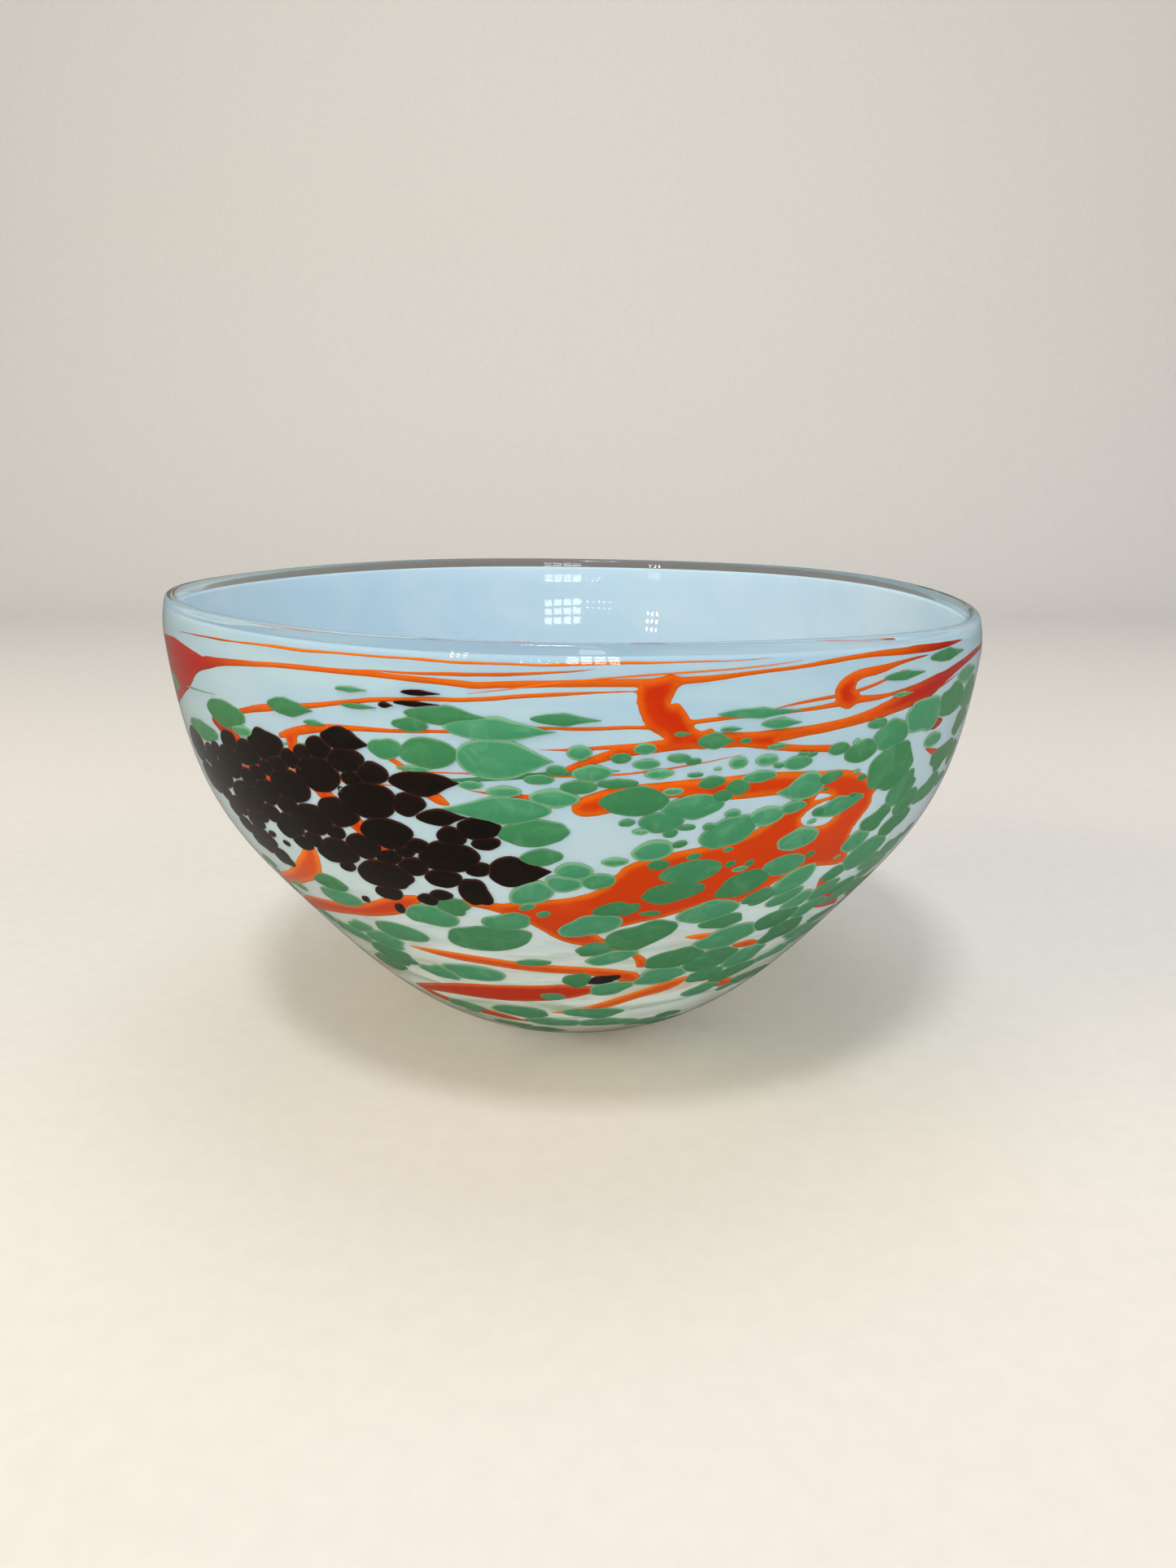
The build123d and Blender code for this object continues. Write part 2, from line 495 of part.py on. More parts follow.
def pool(outline, coat):
    """The part of the coat inside a smooth closed outline."""
    angles, downs = zip(*outline)
    plane = wall_plane(sum(angles) / len(angles), sum(downs) / len(downs))
    with BuildPart() as patch:
        with BuildSketch(plane):
            with BuildLine() as edge:
                Spline(*[on_plane(plane, *place) for place in outline], periodic=True)
            make_face(edge.edges())
        extrude(amount=SKETCH_REACH, both=True)
        add(coat, mode=Mode.INTERSECT)
    return patch.part


def ribbon_run(stations, coat):
    """The part of the coat along a short ribbon, its ends round where it still has a width."""
    middle = stations[len(stations) // 2]
    plane = wall_plane(middle[0], middle[1])
    spots = [Vector(*on_plane(plane, angle, down)) for angle, down, _ in stations]
    left, right, along = [], [], []
    for i, spot in enumerate(spots):
        along.append((spots[min(i + 1, len(spots) - 1)] - spots[max(i - 1, 0)]).normalized())
        across = Vector(-along[i].Y, along[i].X) * stations[i][2] / 2
        left.append(spot + across)
        right.append(spot - across)
    with BuildPart() as patch:
        with BuildSketch(plane):
            with BuildLine() as edge:
                for side in (left, right):
                    Spline(*side) if len(side) > 2 else Line(*side)
                for end, forwards in ((0, -1), (-1, 1)):
                    width = stations[end][2]
                    if width:
                        tip = spots[end] + along[end] * (forwards * width / 2)
                        ThreePointArc(left[end], tip, right[end])
            make_face(edge.edges())
        extrude(amount=SKETCH_REACH, both=True)
        add(coat, mode=Mode.INTERSECT)
    return patch.part


def ribbon(stations, coat):
    """A ribbon along its stations, in as many flat runs as the curve of the wall needs."""
    runs = []
    start = 0
    for i in range(1, len(stations)):
        if i == len(stations) - 1 or abs(stations[i + 1][0] - stations[start][0]) > SKETCH_SPAN:
            runs.append(ribbon_run(stations[start:i + 1], coat))
            start = i
    return runs


def chip_solid(chip):
    """One flat chip lying over the orange: an oval, or a drop with its point along x."""
    _, _, length, width, _, pointed = chip
    with BuildPart() as piece:
        with BuildSketch(chip_plane(chip).offset(FRIT_GAP)):
            if pointed:
                with BuildLine() as edge:
                    Spline(
                        (length / 2, 0), (0.12 * length, 0.4 * width), (-0.24 * length, width / 2),
                        (-length / 2, 0), (-0.24 * length, -width / 2), (0.12 * length, -0.4 * width),
                        (length / 2, 0),
                    )
                make_face(edge.edges())
            else:
                Ellipse(length / 2, width / 2)
        extrude(amount=FRIT_DEPTH)
    return piece.part


rng = random.Random(SCATTER_SEED)
placed_rows = []
aubergine_chips = settle(
    [(*place, False) for place in AUBERGINE_OVALS] + [(*place, True) for place in AUBERGINE_LEAVES],
    placed_rows,
)
green_chips = settle(
    [(*place, True) for place in GREEN_LEAVES] + [(*place, False) for place in GREEN_OVALS],
    placed_rows,
)
back_cluster = [(angle + BACK_CLUSTER_TURN, down) for angle, down in CLUSTER]
for outline in (CLUSTER, back_cluster):
    for scale in CLUSTER_PASSES:
        aubergine_chips += settle(fill_cluster(outline, scale, rng), placed_rows)
green_chips += settle(scatter(SCATTER_FRONT + SCATTER_BACK, rng), placed_rows, (1.0, 0.8))

trail_coat = band(TRAIL_GAP, TRAIL_GAP + TRAIL_DEPTH)
back_trails = [
    [(angle + BACK_TURN, down + BACK_DROP, width) for angle, down, width in TRAILS[name]]
    for name in BACK_TRAILS
]
with BuildPart() as orange_trails:
    for stations in [*TRAILS.values(), *back_trails]:
        add(ribbon(stations, trail_coat))
    add([pool(outline, trail_coat) for outline in POOLS.values()])
    add(pool(RIVER_HOLE, trail_coat), mode=Mode.SUBTRACT)

with BuildPart() as green_frit:
    add([chip_solid(chip) for chip in green_chips])

with BuildPart() as aubergine_frit:
    add([chip_solid(chip) for chip in aubergine_chips])

with BuildPart() as clear_casing:
    with BuildSketch(Plane.XZ):
        wall_section(OUTER, 0)
    revolve(axis=Axis.Z)
    with Locations((0, 0, DIMPLE_DEPTH - DIMPLE_BALL)):
        Sphere(DIMPLE_BALL, mode=Mode.SUBTRACT)
    add(above_lip(), mode=Mode.SUBTRACT)
    fillet(lip_edges(clear_casing), LIP_ROUND)
    add(opal_lining.part, mode=Mode.SUBTRACT)
    for colour in (orange_trails, green_frit, aubergine_frit):
        add(colour.part, mode=Mode.SUBTRACT)

os.makedirs("parts", exist_ok=True)
for name, glass in (
    ("opal_lining", opal_lining), ("clear_casing", clear_casing), ("orange_trails", orange_trails),
    ("green_frit", green_frit), ("aubergine_frit", aubergine_frit),
):
    glass.part.label = name
    export_step(glass.part, f"parts/{name}.step")
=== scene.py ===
"""Looks of the hand-blown cased glass bowl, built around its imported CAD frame.

Metres, +Z up, the front is -Y. The CAD nodes give every place and size: the wall's curves, the
lip's height all the way round, and the outline of each trail and chip of colour. From those this
script builds finer meshes that stand for the nodes.
"""
import math
import random

import bpy
import numpy as np
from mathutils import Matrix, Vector, bvhtree, geometry, noise


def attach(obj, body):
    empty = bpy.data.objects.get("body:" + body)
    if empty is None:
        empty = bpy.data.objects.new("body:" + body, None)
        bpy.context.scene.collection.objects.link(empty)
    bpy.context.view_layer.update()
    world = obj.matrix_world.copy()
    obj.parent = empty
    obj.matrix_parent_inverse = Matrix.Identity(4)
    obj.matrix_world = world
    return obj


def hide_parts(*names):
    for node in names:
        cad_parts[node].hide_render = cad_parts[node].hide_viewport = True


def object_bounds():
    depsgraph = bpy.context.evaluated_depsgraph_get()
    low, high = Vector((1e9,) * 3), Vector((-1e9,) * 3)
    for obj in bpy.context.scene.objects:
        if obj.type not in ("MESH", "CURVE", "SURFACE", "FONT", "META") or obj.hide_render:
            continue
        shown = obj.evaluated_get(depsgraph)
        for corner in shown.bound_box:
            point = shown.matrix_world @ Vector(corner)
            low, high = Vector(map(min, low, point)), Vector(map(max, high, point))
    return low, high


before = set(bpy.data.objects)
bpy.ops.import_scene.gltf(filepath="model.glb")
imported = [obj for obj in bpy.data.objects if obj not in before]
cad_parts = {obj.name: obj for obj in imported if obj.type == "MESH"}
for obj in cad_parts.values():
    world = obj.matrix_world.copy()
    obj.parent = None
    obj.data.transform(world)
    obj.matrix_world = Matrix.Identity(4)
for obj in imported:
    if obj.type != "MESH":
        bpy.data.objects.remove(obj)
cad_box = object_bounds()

MM = 0.001
SEED = 5

# Reading the wall's curves from the CAD nodes
RAY_COUNT = 420
RAY_SWEEP = math.radians(135)   # from straight down, through level, to the lip
RAY_START = 0.45                # where the rays start on the axis, as a share of the height
LIP_SECTOR = 8 * MM             # half width of the strip in which the lip's height is read
CASING_LIP_ROUND = 3.2 * MM     # how far below its top edge each glass leaves its curve
LINING_LIP_ROUND = 1.5 * MM
PAST_LIP = 12 * MM              # how far each curve runs straight on past its last sample
CREST_ABOVE_DATUM = 2.56 * MM   # the highest crest over the level that distances down start from

# Meshes of the two big glasses
ROUND_STEPS = 288               # columns round the bowl
UP_STEPS = 96                   # rows up a wall surface
CASING_LIP_STEPS = 14           # rows over a top edge
LINING_LIP_STEPS = 6
CASING_HUB = 2 * MM             # distance of the first row from the middle
LINING_HUB = 1.5 * MM
LIP_LEAN = 2.0 * MM             # how far the outside rolls inwards towards the lip
LIP_LEAN_SPAN = 9 * MM          # the height over which it does
LINING_EDGE = 0.9 * MM          # how far below its crest the lining's edge starts to round
TUCK = 0.6 * MM                 # how far below that crest the clear glass ends on the inside
TUCK_DROP = 1.5 * MM            # how much lower its hidden side starts
BURIED = 0.5 * MM               # how deep its hidden side sinks into the lining

# Colour lying on the lining
SKIRT = 0.06 * MM               # how deep colour sinks into the lining
TRAIL_GAP = 0.02 * MM           # how far a trail's thin edge stands off the lining
TRAIL_HEIGHT = 0.45 * MM
TRAIL_STEP = 0.7 * MM           # spacing of points along a trail's outline
TRAIL_GRID = 1.1 * MM           # spacing of points inside it
TRAIL_EDGE = 0.9 * MM           # width over which a trail thins towards its edge
TRAIL_FACE = 0.3 * MM           # a CAD trail's outer face lies at least this far over the lining
TRAIL_WOBBLE = 0.30 * MM        # how far a trail's outline wanders
WOBBLE_SCALE = 70               # noise features per metre
WOBBLE_LAYER = 20.0
THREAD_HEIGHT = 0.3 * MM
CHIP_EDGE_HEIGHT = 0.50 * MM
CHIP_HEIGHT = 0.95 * MM
CHIP_ROUND = 0.45 * MM          # how far in from its rim a chip's shoulder is round
CHIP_UPRIGHT = 0.55             # share of its edge that stands upright under the shoulder
CROWDED_GROWTH = 0.9            # how much further chips run where they lie crowded
NEIGHBOUR_REACH = 4.5 * MM      # a chip runs on towards neighbours nearer than this
FREE_GROWTH = 0.5 * MM          # how far it runs where it has none

# The photographer's view
CAMERA_PLACE = (3.8 * MM, -362.9 * MM, 166.6 * MM)
CAMERA_PITCH = math.radians(15.04)
CAMERA_LENS = 27.05             # mm, on a sensor 36 mm high


# --- Reading the CAD nodes ---

def node_mesh(name):
    """A CAD node's points and triangles, with points shared between its faces counted once."""
    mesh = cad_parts[name].data
    mesh.calc_loop_triangles()
    points = np.array([v.co for v in mesh.vertices])
    triangles = np.array([t.vertices for t in mesh.loop_triangles])
    _, first, same = np.unique(np.round(points / 1e-6).astype(int), axis=0,
                               return_index=True, return_inverse=True)
    return points[first], same.reshape(-1)[triangles]


def node_tree(name):
    """A CAD node's points, and a tree of its faces for rays to hit."""
    points, triangles = node_mesh(name)
    return points, bvhtree.BVHTree.FromPolygons(points.tolist(), triangles.tolist())


def islands(points, triangles):
    """The separate solids of a node, each as its own points and triangles."""
    label = np.arange(len(points))
    while True:
        lowest = label[triangles].min(axis=1)
        new = label.copy()
        for corner in range(3):
            np.minimum.at(new, triangles[:, corner], lowest)
        new = new[new]
        if (new == label).all():
            break
        label = new
    result = []
    for root in np.unique(label[triangles[:, 0]]):
        own = triangles[label[triangles[:, 0]] == root]
        used, local = np.unique(own, return_inverse=True)
        result.append((points[used], local.reshape(own.shape)))
    return result


class Curve:
    """One surface of the wall as a smooth curve of radius and height, by distance from the axis."""

    def __init__(self, samples):
        samples = np.array(samples)
        steps = np.hypot(*np.diff(samples, axis=0).T)
        length = np.concatenate([[0], np.cumsum(steps)])
        fit = [np.polynomial.Chebyshev.fit(length, samples[:, i], 13) for i in (0, 1)]
        dense = np.linspace(0, length[-1], 1200)
        points = np.stack([f(dense) for f in fit], axis=1)
        points[0, 0] = 0.0
        # the lip is rounded away from the curve, so the wall runs straight on past its last sample
        onward = points[-1] - points[-40]
        onward /= np.hypot(*onward)
        tail = points[-1] + onward * np.linspace(0, PAST_LIP, 61)[1:, None]
        self.points = np.concatenate([points, tail])
        steps = np.hypot(*np.diff(self.points, axis=0).T)
        self.length = np.concatenate([[0], np.cumsum(steps)])
        slope = np.gradient(self.points, self.length, axis=0)
        slope /= np.linalg.norm(slope, axis=1)[:, None]
        self.normals = np.stack([slope[:, 1], -slope[:, 0]], axis=1)

    def at(self, along):
        """Radius and height at distances along the curve."""
        return np.stack([np.interp(along, self.length, self.points[:, i]) for i in (0, 1)], axis=-1)

    def normal(self, along):
        """Outward direction, as radius and height, at distances along the curve."""
        normals = [np.interp(along, self.length, self.normals[:, i]) for i in (0, 1)]
        return np.stack(normals, axis=-1)

    def along_at_height(self, height):
        """Distance along the curve where the upper wall reaches a height."""
        upper = self.length > 0.3 * self.length[-1]
        return np.interp(height, self.points[upper, 1], self.length[upper])

    def nearest(self, spots):
        """Distance along the curve of the point nearest to each (radius, height)."""
        result = []
        for chunk in np.array_split(np.asarray(spots), max(1, len(spots) // 2000)):
            gaps = np.linalg.norm(chunk[:, None] - self.points[None], axis=2)
            result.append(self.length[gaps.argmin(axis=1)])
        return np.concatenate(result)


def wall_curve(points, tree, from_outside, lip_round):
    """A wall surface found with a fan of rays through a point inside the bowl, towards -X."""
    sector = (np.abs(points[:, 1]) < LIP_SECTOR) & (points[:, 0] < 0)
    stop = points[sector, 2].max() - lip_round
    middle = Vector((0, 0, RAY_START * cad_top))
    samples = []
    for angle in np.linspace(0.0005, RAY_SWEEP, RAY_COUNT):
        ray = Vector((-math.sin(angle), 0.0007, -math.cos(angle))).normalized()
        start = middle + ray * 0.4 if from_outside else middle
        hit = tree.ray_cast(start, -ray if from_outside else ray)[0]
        if hit is None or hit.x > 0 or hit.z > stop:
            break
        samples.append((math.hypot(hit.x, hit.y), hit.z))
    return samples


cad_top = Vector(cad_box[1]).z
casing_points, casing_tree = node_tree("clear_casing")
lining_points, lining_tree = node_tree("opal_lining")
outer = Curve(wall_curve(casing_points, casing_tree, True, CASING_LIP_ROUND))
coat = Curve(wall_curve(lining_points, lining_tree, True, LINING_LIP_ROUND))
inner = Curve(wall_curve(lining_points, lining_tree, False, LINING_LIP_ROUND))


# --- Places on the wall ---

def radius_at(surface, height):
    return float(surface.at(surface.along_at_height(height))[0])


def crest_height(angle, tree, surface):
    """Height of a glass's top edge at an angle round the bowl, from rays dropped onto it."""
    radius = (radius_at(surface, cad_top) + radius_at(inner, cad_top)) / 2
    direction = Vector((math.sin(angle), -math.cos(angle), 0))
    heights = []
    for shift in (-0.6, -0.3, 0.0, 0.3, 0.6):
        start = direction * (radius + shift * MM) + Vector((0, 0, 1))
        hit = tree.ray_cast(start, Vector((0, 0, -1)))[0]
        if hit is not None:
            heights.append(hit.z)
    return max(heights)


def smooth_round(values, passes):
    """Values round a closed line, smoothed with their neighbours."""
    for _ in range(passes):
        values = (np.roll(values, 1, axis=0) + 2 * values + np.roll(values, -1, axis=0)) / 4
    return values


def in_space(angle, along, height):
    """Points on the wall: angle from the front, distance along the coat, height above it."""
    angle, along, height = np.broadcast_arrays(angle, along, height)
    radius, level = np.moveaxis(coat.at(along), -1, 0)
    out, up = np.moveaxis(coat.normal(along), -1, 0)
    radius = np.maximum(radius + out * height, 0.0)
    return np.stack([radius * np.sin(angle), -radius * np.cos(angle), level + up * height], axis=-1)


def on_wall(points):
    """Angle from the front and distance along the coat for points in space."""
    radius = np.hypot(points[:, 0], points[:, 1])
    angle = np.arctan2(points[:, 0], -points[:, 1])
    return angle, coat.nearest(np.stack([radius, points[:, 2]], axis=1))


class Patch:
    """A flat map of the wall near one place, in metres, for working on outlines."""

    def __init__(self, points):
        angle, along = on_wall(points)
        turn = np.exp(1j * angle).mean()
        self.angle = math.atan2(turn.imag, turn.real)
        self.along = float(along.mean())
        self.radius = float(coat.at(self.along)[0])
        self.flat = self.flatten(angle, along)

    def flatten(self, angle, along):
        """Places on the flat map, from angles from the front and distances along the coat."""
        swing = (angle - self.angle + math.pi) % (2 * math.pi) - math.pi
        return np.stack([swing * self.radius, along - self.along], axis=1)

    def lift(self, flat, height):
        """Points of the flat map back on the bowl."""
        return in_space(self.angle + flat[:, 0] / self.radius, self.along + flat[:, 1], height)


# --- Building meshes ---

def add_object(name, data):
    """A new object in the scene."""
    thing = bpy.data.objects.new(name, data)
    bpy.context.scene.collection.objects.link(thing)
    return thing


class Build:
    """Vertices, faces and per-vertex values gathered from many small meshes into one object."""

    def __init__(self):
        self.points, self.faces, self.values = [], [], {}
        self.count = 0

    def add(self, points, faces, **values):
        self.points.append(np.asarray(points))
        self.faces.extend([[corner + self.count for corner in face] for face in faces])
        for name, value in values.items():
            column = np.broadcast_to(np.asarray(value, float), (len(points),))
            self.values.setdefault(name, []).append(column)
        self.count += len(points)

    def finish(self, name, slot, materials, node, face_slots=None):
        """The object, riding on the bowl's one body and standing for a CAD node."""
        mesh = bpy.data.meshes.new(name)
        mesh.from_pydata(np.concatenate(self.points).tolist(), [], self.faces)
        for value_name, columns in self.values.items():
            attribute = mesh.attributes.new(value_name, "FLOAT", "POINT")
            attribute.data.foreach_set("value", np.concatenate(columns).astype(np.float32))
        for material in materials:
            mesh.materials.append(material)
        if face_slots is not None:
            mesh.polygons.foreach_set("material_index", np.asarray(face_slots, np.int32))
        mesh.polygons.foreach_set("use_smooth", np.ones(len(mesh.polygons), bool))
        mesh.validate()
        piece = add_object(name, mesh)
        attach(piece, "root")
        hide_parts(node)


def ring_faces(rings, columns):
    """Quads between rings of points, closed round the bowl."""
    faces = []
    for ring in range(rings - 1):
        for column in range(columns):
            after = (column + 1) % columns
            low, high = ring * columns, (ring + 1) * columns
            faces.append((low + column, low + after, high + after, high + column))
    return faces


def cap_faces(ring, columns, centre, outward):
    """Triangles from one ring to a centre point."""
    low = ring * columns
    faces = [(low + column, low + (column + 1) % columns, centre) for column in range(columns)]
    return [face[::-1] for face in faces] if outward else faces


def turned(rows):
    """Rows of (radius, height), one per column round the bowl, as rings of points in space."""
    radius, height = np.moveaxis(rows, -1, 0)
    return np.stack([radius * np.sin(round_angles), -radius * np.cos(round_angles), height], axis=-1)


def closed_body(rows, first_centre, last_centre):
    """Points and faces of rows turned round the bowl, closed by a middle point at each end."""
    points = np.concatenate([turned(rows).reshape(-1, 3), [first_centre, last_centre]])
    faces = ring_faces(len(rows), ROUND_STEPS)
    faces += cap_faces(0, ROUND_STEPS, len(points) - 2, True)
    faces += cap_faces(len(rows) - 1, ROUND_STEPS, len(points) - 1, False)
    return points, faces


def up_wall(surface, tops, start):
    """Rows up a wall surface from a start distance to a height that varies round the bowl."""
    ends = surface.along_at_height(tops)
    share = (np.arange(UP_STEPS) / (UP_STEPS - 1))[:, None]
    return surface.at(start + (ends - start)[None] * share)


def arc_between(start, end, steps):
    """Rows along a half circle over a top edge, from start to end."""
    centre = (start + end) / 2
    turns = np.linspace(0, math.pi, steps + 2)[1:-1, None, None]
    blend = (1 - np.cos(turns)) / 2
    side = (start - centre) * (1 - blend) + (end - centre) * blend
    side[..., 1] = 0
    reach = np.abs(start[..., 0] - end[..., 0]) / 2
    rows = centre + side
    rows[..., 1] = centre[..., 1] + np.sin(turns)[..., 0] * reach
    return rows


def smooth_rows(rows, first, last):
    """The rows with those from first to last eased into each other."""
    for _ in range(3):
        rows[first:last] = (rows[first - 1:last - 1] + 2 * rows[first:last] + rows[first + 1:last + 1]) / 4
    return rows


round_angles = np.arange(ROUND_STEPS) * 2 * math.pi / ROUND_STEPS
casing_crest = smooth_round(np.array([crest_height(a, casing_tree, outer) for a in round_angles]), 6)
lining_crest = smooth_round(np.array([crest_height(a, lining_tree, coat) for a in round_angles]), 6)
lip_half = (radius_at(outer, cad_top) - radius_at(inner, cad_top)) / 2
coat_top = float(coat.along_at_height(cad_top - CREST_ABOVE_DATUM))
SEEDS_OF_AIR = [
    # angle, distance down from the lip, height over the lining, size
    (math.radians(-27.3), 35.0 * MM, 2.0 * MM, 1.7 * MM),
    (math.radians(-33.0), 31.5 * MM, 1.9 * MM, 0.7 * MM),
    (math.radians(18.0), 63.0 * MM, 1.9 * MM, 0.6 * MM),
    (math.radians(142.0), 48.0 * MM, 2.0 * MM, 1.1 * MM),
    (math.radians(-118.0), 70.0 * MM, 1.8 * MM, 0.8 * MM),
]


def bubble(angle, down, height, size):
    """A small round seed of air caught in the casing, as a ball of points and inward faces."""
    centre = in_space(np.array([angle]), np.array([coat_top - down]), height)[0]
    columns, rings = 20, 11
    points = []
    for ring in range(1, rings):
        tilt = math.pi * ring / rings
        for column in range(columns):
            turn = 2 * math.pi * column / columns
            across = math.sin(tilt)
            points.append((across * math.cos(turn), across * math.sin(turn), -math.cos(tilt)))
    points += [(0, 0, -1), (0, 0, 1)]
    faces = ring_faces(rings - 1, columns)
    faces += cap_faces(0, columns, len(points) - 2, True)
    faces += cap_faces(rings - 2, columns, len(points) - 1, False)
    return centre + np.array(points) * size / 2, [face[::-1] for face in faces]


def build_casing(material):
    """The clear gather: outside, over the lip, down the inside, and back buried in the lining."""
    shoulder = casing_crest - lip_half + LIP_LEAN / 2
    outside = up_wall(outer, shoulder, CASING_HUB)
    rolled = np.clip((outside[..., 1] - casing_crest + LIP_LEAN_SPAN) / LIP_LEAN_SPAN, 0, 1)
    outside[..., 0] -= LIP_LEAN * rolled**2
    inside_top = inner.at(inner.along_at_height(shoulder))
    over = arc_between(outside[-1], inside_top, CASING_LIP_STEPS)
    tuck = lining_crest - TUCK
    down = [inner.at(inner.along_at_height(shoulder + (tuck - shoulder) * share))
            for share in (0.0, 0.5, 1.0)]
    along = coat.along_at_height(tuck - TUCK_DROP)
    hidden = []
    for share in np.linspace(1, 0.012, UP_STEPS // 2):
        hidden.append(coat.at(along * share) - coat.normal(along * share) * BURIED)
    rows = np.concatenate([outside, over, np.array(down), np.array(hidden)])
    rows = smooth_rows(rows, len(outside) - 4, len(outside) + 3)
    rows[..., 1] = np.clip(rows[..., 1], 0.0, cad_top)
    foot = (0, 0, max(float(outer.at(0.0)[1]), 0.0))
    heart = (0, 0, float(coat.at(0.0)[1]) + BURIED)
    build = Build()
    build.add(*closed_body(rows, foot, heart))
    for seed in SEEDS_OF_AIR:
        build.add(*bubble(*seed))
    build.finish("clear_casing_glass", "clear_glass", [material], "clear_casing")


def build_lining(under_casing, polished):
    """The opal cup: its outside under the casing, a rounded top edge and its bare inside."""
    shoulder = lining_crest - LINING_EDGE
    outside = up_wall(coat, shoulder, LINING_HUB)
    inside_top = inner.at(inner.along_at_height(shoulder))
    over = arc_between(outside[-1], inside_top, LINING_LIP_STEPS)
    inside = up_wall(inner, shoulder, LINING_HUB)[::-1]
    rows = np.concatenate([outside, over, inside])
    bottom = (0, 0, float(coat.at(0.0)[1]))
    floor = (0, 0, float(inner.at(0.0)[1]))
    # the first material runs up to the middle of the edge, and the second on from there
    covered = len(outside) + LINING_LIP_STEPS // 2
    bands = [0] * covered + [1] * (len(rows) - 1 - covered) + [0, 1]
    face_slots = np.repeat(bands, ROUND_STEPS)
    build = Build()
    build.add(*closed_body(rows, bottom, floor))
    build.finish("opal_lining_glass", "opal_glass", [under_casing, polished], "opal_lining", face_slots)


# --- Colour: chips ---

def radial_outline(hull, steps):
    """A convex outline as points at even turns about its middle, the first at its sharpest end."""
    middle = (hull.max(axis=0) + hull.min(axis=0)) / 2
    arms = hull - middle
    reach = np.hypot(*arms.T)
    first = reach.argmax()
    start = math.atan2(arms[first, 1], arms[first, 0])
    long_side = reach[first]
    across = np.array([-math.sin(start), math.cos(start)])
    short_side = np.abs(arms @ across).max()
    turns = np.arange(steps) * 2 * math.pi / steps
    # even turns on the chip's own oval, so that long chips keep points at their ends
    headings = start + np.arctan2(short_side * np.sin(turns), long_side * np.cos(turns))
    outline = []
    for heading in headings:
        ray = np.array([math.cos(heading), math.sin(heading)])
        outline.append(middle + ray * ray_length(arms, ray))
    return middle, np.array(outline), long_side, short_side


def ray_length(arms, ray):
    """How far a ray from the origin runs before it leaves a convex outline."""
    ends = np.roll(arms, -1, axis=0)
    side = ends - arms
    cross = ray[0] * side[:, 1] - ray[1] * side[:, 0]
    safe = np.where(np.abs(cross) < 1e-12, 1e-12, cross)
    reach = (arms[:, 0] * side[:, 1] - arms[:, 1] * side[:, 0]) / safe
    share = (arms[:, 0] * ray[1] - arms[:, 1] * ray[0]) / safe
    fits = (reach > 0) & (share > -1e-6) & (share < 1 + 1e-6)
    return reach[fits].min() if fits.any() else np.hypot(*arms.T).min()


def roughen(outline, middle, size, amount, dice):
    """The outline with the bumps and hollows of broken glass that has softened in the fire."""
    steps = len(outline)
    turns = np.arange(steps) * 2 * math.pi / steps
    wobble = np.zeros(steps)
    for waves in (2, 3, 4, 5, 7):
        wobble += dice.uniform(-1, 1) / waves**0.7 * np.cos(waves * turns + dice.uniform(0, 6.3))
    arms = outline - middle
    reach = np.hypot(*arms.T)[:, None]
    return middle + arms * (1 + amount * wobble[:, None] * np.minimum(1, size / reach))


def chip_rings(patch, middle, outline, edge_height, height, rounding):
    """Rings of a softened chip, from its hidden underside over its edge to its top."""
    arms = outline - middle
    reach = np.hypot(*arms.T)
    profile = [(0.0, -SKIRT), (0.0, edge_height * CHIP_UPRIGHT)]
    for turn in (0.35, 0.75, 1.15, 1.57):
        inward = rounding * (1 - math.cos(turn))
        profile.append((inward, edge_height * (CHIP_UPRIGHT + (1 - CHIP_UPRIGHT) * math.sin(turn))))
    rings, edges = [], []
    for inward, level in profile:
        scale = np.maximum(1 - inward / np.maximum(reach, 1e-9), 0.35)
        rings.append(patch.lift(middle + arms * scale[:, None], level))
        edges.append(reach * (1 - scale))
    for share in (0.62, 0.36, 0.14):
        lens = 1 - share**2
        rings.append(patch.lift(middle + arms * share * 0.9, edge_height + (height - edge_height) * lens))
        edges.append(reach * (1 - share * 0.9))
    top = patch.lift(middle[None], height)
    return rings, edges, top


def chip_outline(flat):
    """A chip's middle, its outline at even turns, and its two half sizes, on the flat map."""
    hull = flat[geometry.convex_hull_2d([Vector(spot) for spot in flat])]
    long_side = np.hypot(*(flat.max(axis=0) - flat.min(axis=0))) / 2
    return radial_outline(hull, 32 if long_side < 2.5 * MM else 48)


def crowding(patch):
    """From 0 to 1, how crowded the chips lie: least in the upper wall's front and left."""
    degrees = math.degrees(patch.angle) % 360
    down = (coat_top - patch.along) / MM
    on_right = np.interp(degrees, (30, 42, 270, 290), (0, 1, 1, 0)) * np.interp(down, (14, 22), (0, 1))
    low = np.interp(down, (56, 76), (0, 0.8))
    return float(max(on_right, low))


def growth_limit(short_side):
    """Most that a chip may grow: a thin one only a little, so that it stays thin."""
    return short_side * float(np.interp(short_side, (0.6 * MM, 1.8 * MM), (0.25, 0.9)))


def room_to_grow(patch, outline, neighbours, most, slit):
    """How far each point of an outline may move outwards: half way to the nearest neighbour."""
    room = np.full(len(outline), min(most, FREE_GROWTH))
    if len(neighbours):
        spots = patch.flatten(*on_wall(neighbours))
        gaps = np.linalg.norm(outline[:, None] - spots[None], axis=2).min(axis=1)
        room = np.where(gaps < NEIGHBOUR_REACH, np.minimum(most, (gaps - slit) / 2), room)
    return smooth_round(room, 3)


